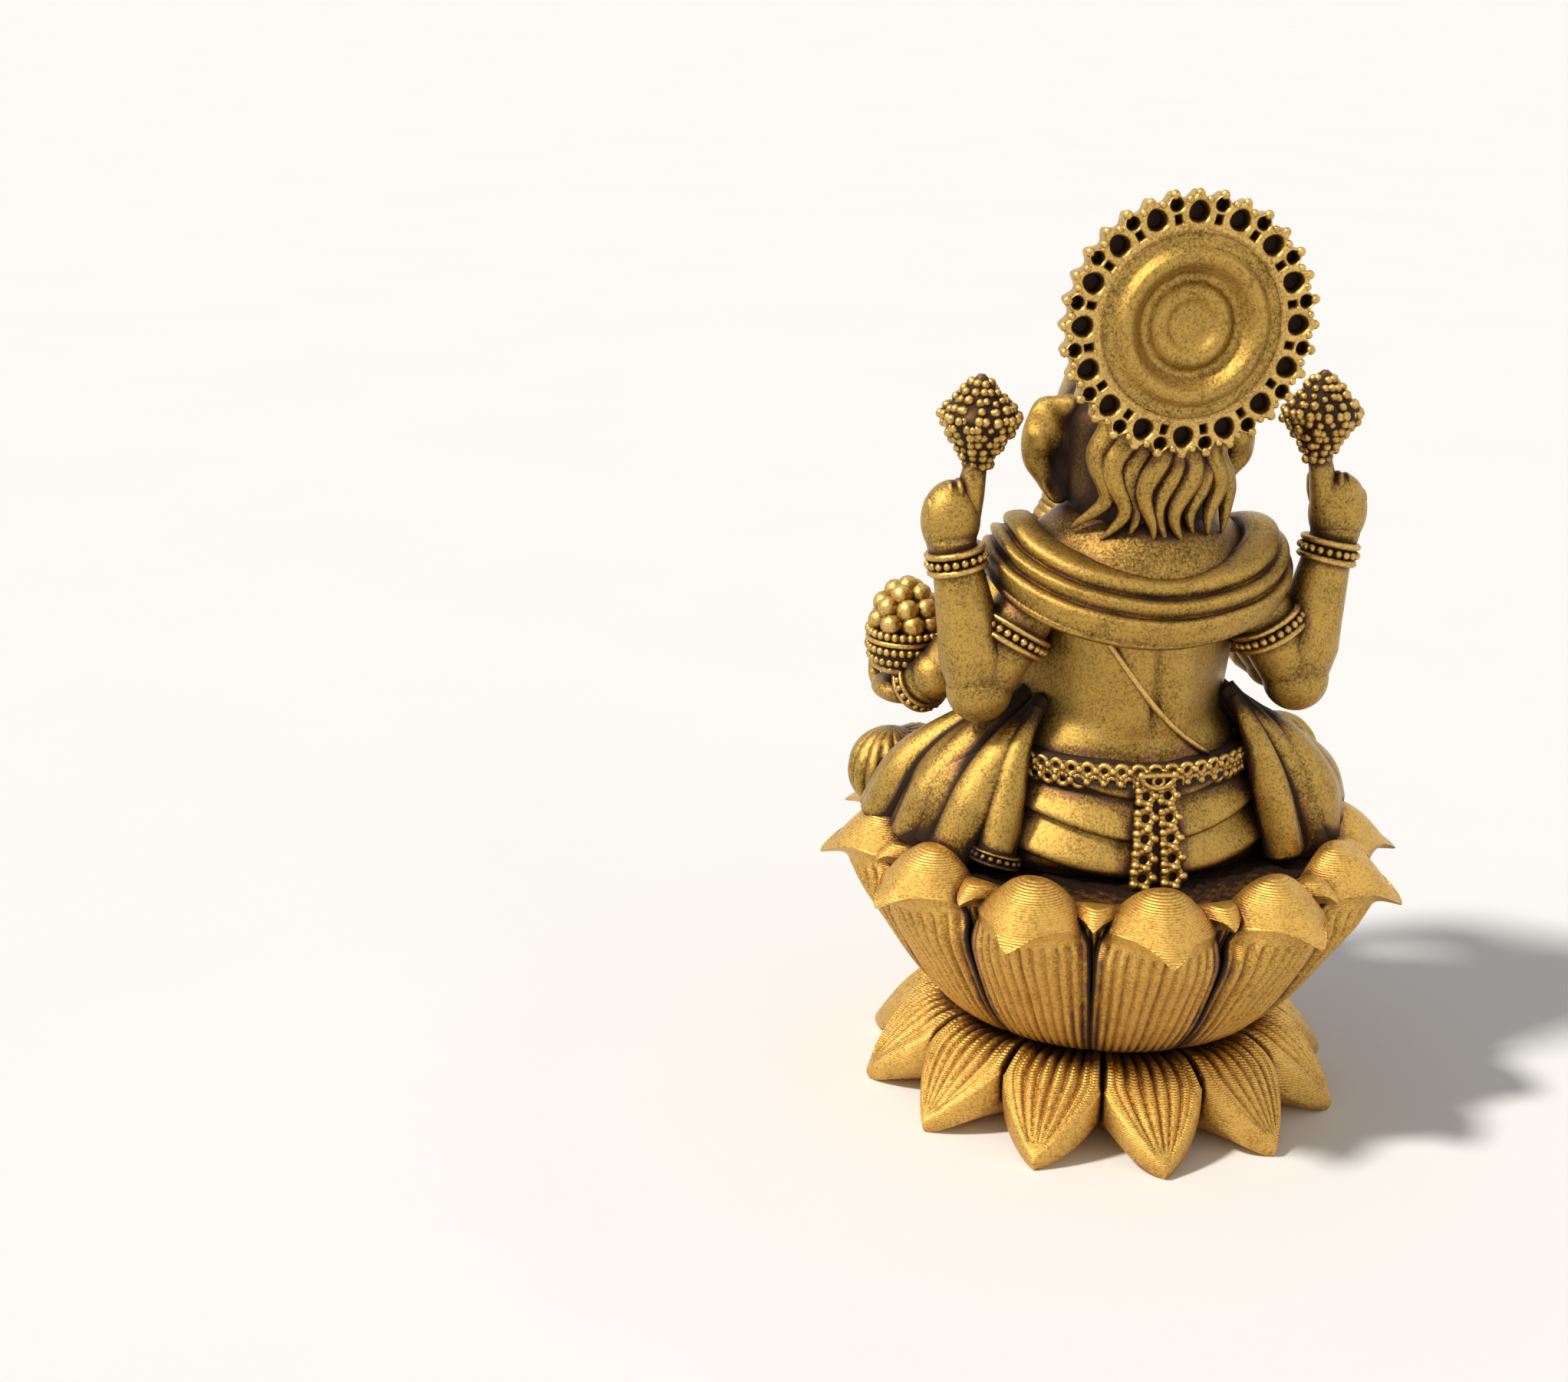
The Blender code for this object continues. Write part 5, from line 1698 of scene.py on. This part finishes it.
# Radius and height
BUD_PROFILE = (
    (0.5, 52.3), (0.75, 53.6), (1.1, 54.3), (1.6, 55.2), (2.2, 56.1), (2.75, 57.0), (2.95, 57.7),
    (2.6, 58.3), (1.85, 59.0), (1.15, 59.8), (0.7, 60.4), (0.25, 60.9),
)
CUP_PROFILE = (
    (0.1, 33.9), (1.5, 34.0), (2.3, 34.5), (2.9, 35.2), (3.1, 36.0), (3.05, 37.6), (2.4, 37.8), (0.1, 37.6),
)
# Radius, height, number and size
CUP_BEADS = ((3.1, 36.4, 30, 0.36), (3.1, 37.7, 30, 0.36), (2.95, 35.5, 28, 0.33))
SWEETS = ((2.3, 38.5, 8, 1.0), (1.95, 39.75, 7, 0.98), (1.15, 40.8, 4, 0.95), (0.05, 41.3, 1, 0.95))


@dataclass
class Offerings:
    """The two granulated lotus buds and the bowl heaped with sweets."""

    bud_at: tuple = (13.9, 3.0)
    bud_rows: tuple = (53.9, 60.6)
    bowl_at: tuple = (16.5, -7.2)
    bead: float = 0.37
    seed: int = 11

    def bud(self) -> Shell:
        """A turned core with uneven rings of beads, each ring turned half a bead against the one below.

        Returns:
            The left bud.
        """
        shells = [lathe(through(BUD_PROFILE, 60), 60, (*self.bud_at, 0.0)).shaded(0.5)]
        radii, heights = np.asarray(BUD_PROFILE).T
        chance = np.random.default_rng(self.seed)
        for number, height in enumerate(np.arange(*self.bud_rows, self.bead * 1.72)):
            radius = float(np.interp(height, heights, radii))
            count = max(5, round(TURN * radius / (self.bead * 2.0)))
            turn = steps(count) + 0.5 * (number % 2) * TURN / count + 0.09 * chance.standard_normal(count)
            reach = radius + 0.08 * chance.standard_normal(count)
            level = height + 0.07 * chance.standard_normal(count)
            sizes = self.bead * chance.uniform(0.85, 1.2, count)
            shells.append(beads(circle(reach, level, turn, self.bud_at), sizes))
        return merge(shells)

    def ring_of(self, radius: float, height: float, count: int, size: float, shift: float = 0.0) -> Shell:
        """A level ring of balls about the bowl's middle."""
        return beads(circle(radius, height, steps(count) + shift, self.bowl_at), size, 12, 8)

    def bowl(self) -> Shell:
        """A round cup with three rows of beads and two plain bands.

        Returns:
            The bowl on the left hand.
        """
        cup = lathe(through(CUP_PROFILE, 60), 80, (*self.bowl_at, 0.0)).shaded(0.45)
        upper = copies(hoop(3.12, 0.26, 80, 10), [(*self.bowl_at, 37.05)], 1.0)
        lower = copies(hoop(2.5, 0.3, 80, 10), [(*self.bowl_at, 34.7)], 1.0)
        return merge([cup, upper, lower, *(self.ring_of(*row) for row in CUP_BEADS)])

    def sweets(self) -> Shell:
        """Balls heaped in four level rings over a core."""
        core = blob((*self.bowl_at, 38.0), (2.4, 2.4, 3.2)).shaded(0.8)
        return merge([core, *(self.ring_of(*row, 0.45 * number) for number, row in enumerate(SWEETS))])

    def build(self, shop: Workshop) -> None:
        """Adds the offerings."""
        shop.pair("studded_bud", self.bud(), ORNAMENT_GOLD, "bud", shade_and_patina=0.3)
        shop.add("studded_bowl", self.bowl(), ORNAMENT_GOLD, "bowl", shade_and_patina=0.3)
        shop.add("heaped_sweets", self.sweets(), ORNAMENT_GOLD, "sweets", shade_and_patina=0.3)


@dataclass
class Studio:
    """A white floor, soft daylight from the upper left and the camera behind the figure."""

    eye: tuple = (64.20, 186.02, 96.58)
    ahead: tuple = (-0.18128, -0.93359, -0.30912)
    right: tuple = (-0.98283, 0.18293, 0.02388)
    up: tuple = (-0.03425, -0.30814, 0.95072)
    lens: float = 57.48
    floor_half: float = 30.0
    floor_dark: tuple = colour(0.9, 0.9, 0.9)
    floor_light: tuple = colour(0.93, 0.93, 0.93)
    lamp_reach: float = 0.5
    lamp_target: tuple = (0.0, 0.0, 0.035)
    sun_angle: float = math.radians(7.0)
    panel_size: float = 0.35
    sky_strength: float = 0.33

    def link(self, name: str, data: bpy.types.ID) -> bpy.types.Object:
        """Puts a new object for the data into the scene.

        Args:
            name: the object's name.
            data: its mesh, lamp or camera.

        Returns:
            The new object.
        """
        obj = bpy.data.objects.new(name, data)
        bpy.context.scene.collection.objects.link(obj)
        return obj

    def camera(self) -> None:
        """Places the camera from its three axes."""
        data = bpy.data.cameras.new("camera")
        data.lens = self.lens
        data.sensor_width = 36.0
        data.clip_start = 0.001
        camera = self.link("camera", data)
        axes = np.array([self.right, self.up, [-v for v in self.ahead]]).T
        camera.matrix_world = Matrix.Translation(Vector(self.eye) * MM) @ Matrix(axes.tolist()).to_4x4()
        bpy.context.scene.camera = camera

    def floor(self) -> None:
        """Lays the floor with a plain pale finish of faint mottling."""
        half = self.floor_half
        corner_points = [(-half, -half, 0), (half, -half, 0), (half, half, 0), (-half, half, 0)]
        mesh = bpy.data.meshes.new("floor")
        mesh.from_pydata(corner_points, [], [(0, 1, 2, 3)])
        graph = Graph(bpy.data.materials.new("floor_white"))
        mottle = graph.noise(graph.place(), 0.02)
        pale = graph.blend(mottle, self.floor_dark, self.floor_light)
        mesh.materials.append(graph.finish(Base_Color=pale, Roughness=0.9))
        self.link("floor", mesh)

    def lamp(self, data: bpy.types.Light, energy: float, aim: Row, tint: Row) -> None:
        """Adds a lamp that shines from a direction.

        Args:
            data: the lamp's data.
            energy: its strength.
            aim: direction from the object to the lamp.
            tint: its colour.
        """
        data.energy = energy
        data.color = tint
        lamp = self.link(data.name, data)
        place = Vector(aim).normalized() * self.lamp_reach
        lamp.location = place + Vector(self.lamp_target)
        lamp.rotation_euler = place.to_track_quat("Z", "Y").to_euler()

    def lamps(self) -> None:
        """Adds the sun and a weak panel on its far side."""
        sun = bpy.data.lights.new("sun", "SUN")
        sun.angle = self.sun_angle
        self.lamp(sun, 3.0, (1.9, 0.5, 2.3), (1.0, 0.96, 0.89))
        panel = bpy.data.lights.new("panel", "AREA")
        panel.size = self.panel_size
        self.lamp(panel, 0.1, (-0.9, 0.9, 0.5), (1.0, 0.96, 0.9))

    def sky(self) -> None:
        """A white sky that shows at full strength to the camera and in gloss, and lights at a lower one."""
        graph = Graph(bpy.data.worlds.new("sky"), "Background")
        kinds = ("Camera", "Glossy", "Transmission")
        camera, gloss, glass = (graph.node("ShaderNodeLightPath", {}, {}, f"Is {kind} Ray") for kind in kinds)
        seen = graph.math("MAXIMUM", graph.math("MAXIMUM", camera, gloss), glass)
        strength = graph.node("ShaderNodeMapRange", {}, {"Value": seen, "To Min": self.sky_strength})
        bpy.context.scene.world = graph.finish(Color=colour(1.0, 1.0, 1.0), Strength=strength)

    def build(self) -> None:
        """Adds camera, floor, lamps and sky."""
        self.camera()
        self.floor()
        self.lamps()
        self.sky()
        bpy.context.scene.view_settings.view_transform = "Standard"


def main() -> None:
    """Loads the frame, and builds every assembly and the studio."""
    logging.basicConfig(level=logging.INFO, format="%(name)s: %(message)s")
    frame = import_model()
    shop = Workshop(frame["nodes"])
    for assembly in (LotusBase(), Body(), Head(), Halo(), Dress(), Arms(), Legs(), Offerings()):
        assembly.build(shop)
    shop.patina()
    Studio().build()


if __name__ == "__main__":
    main()
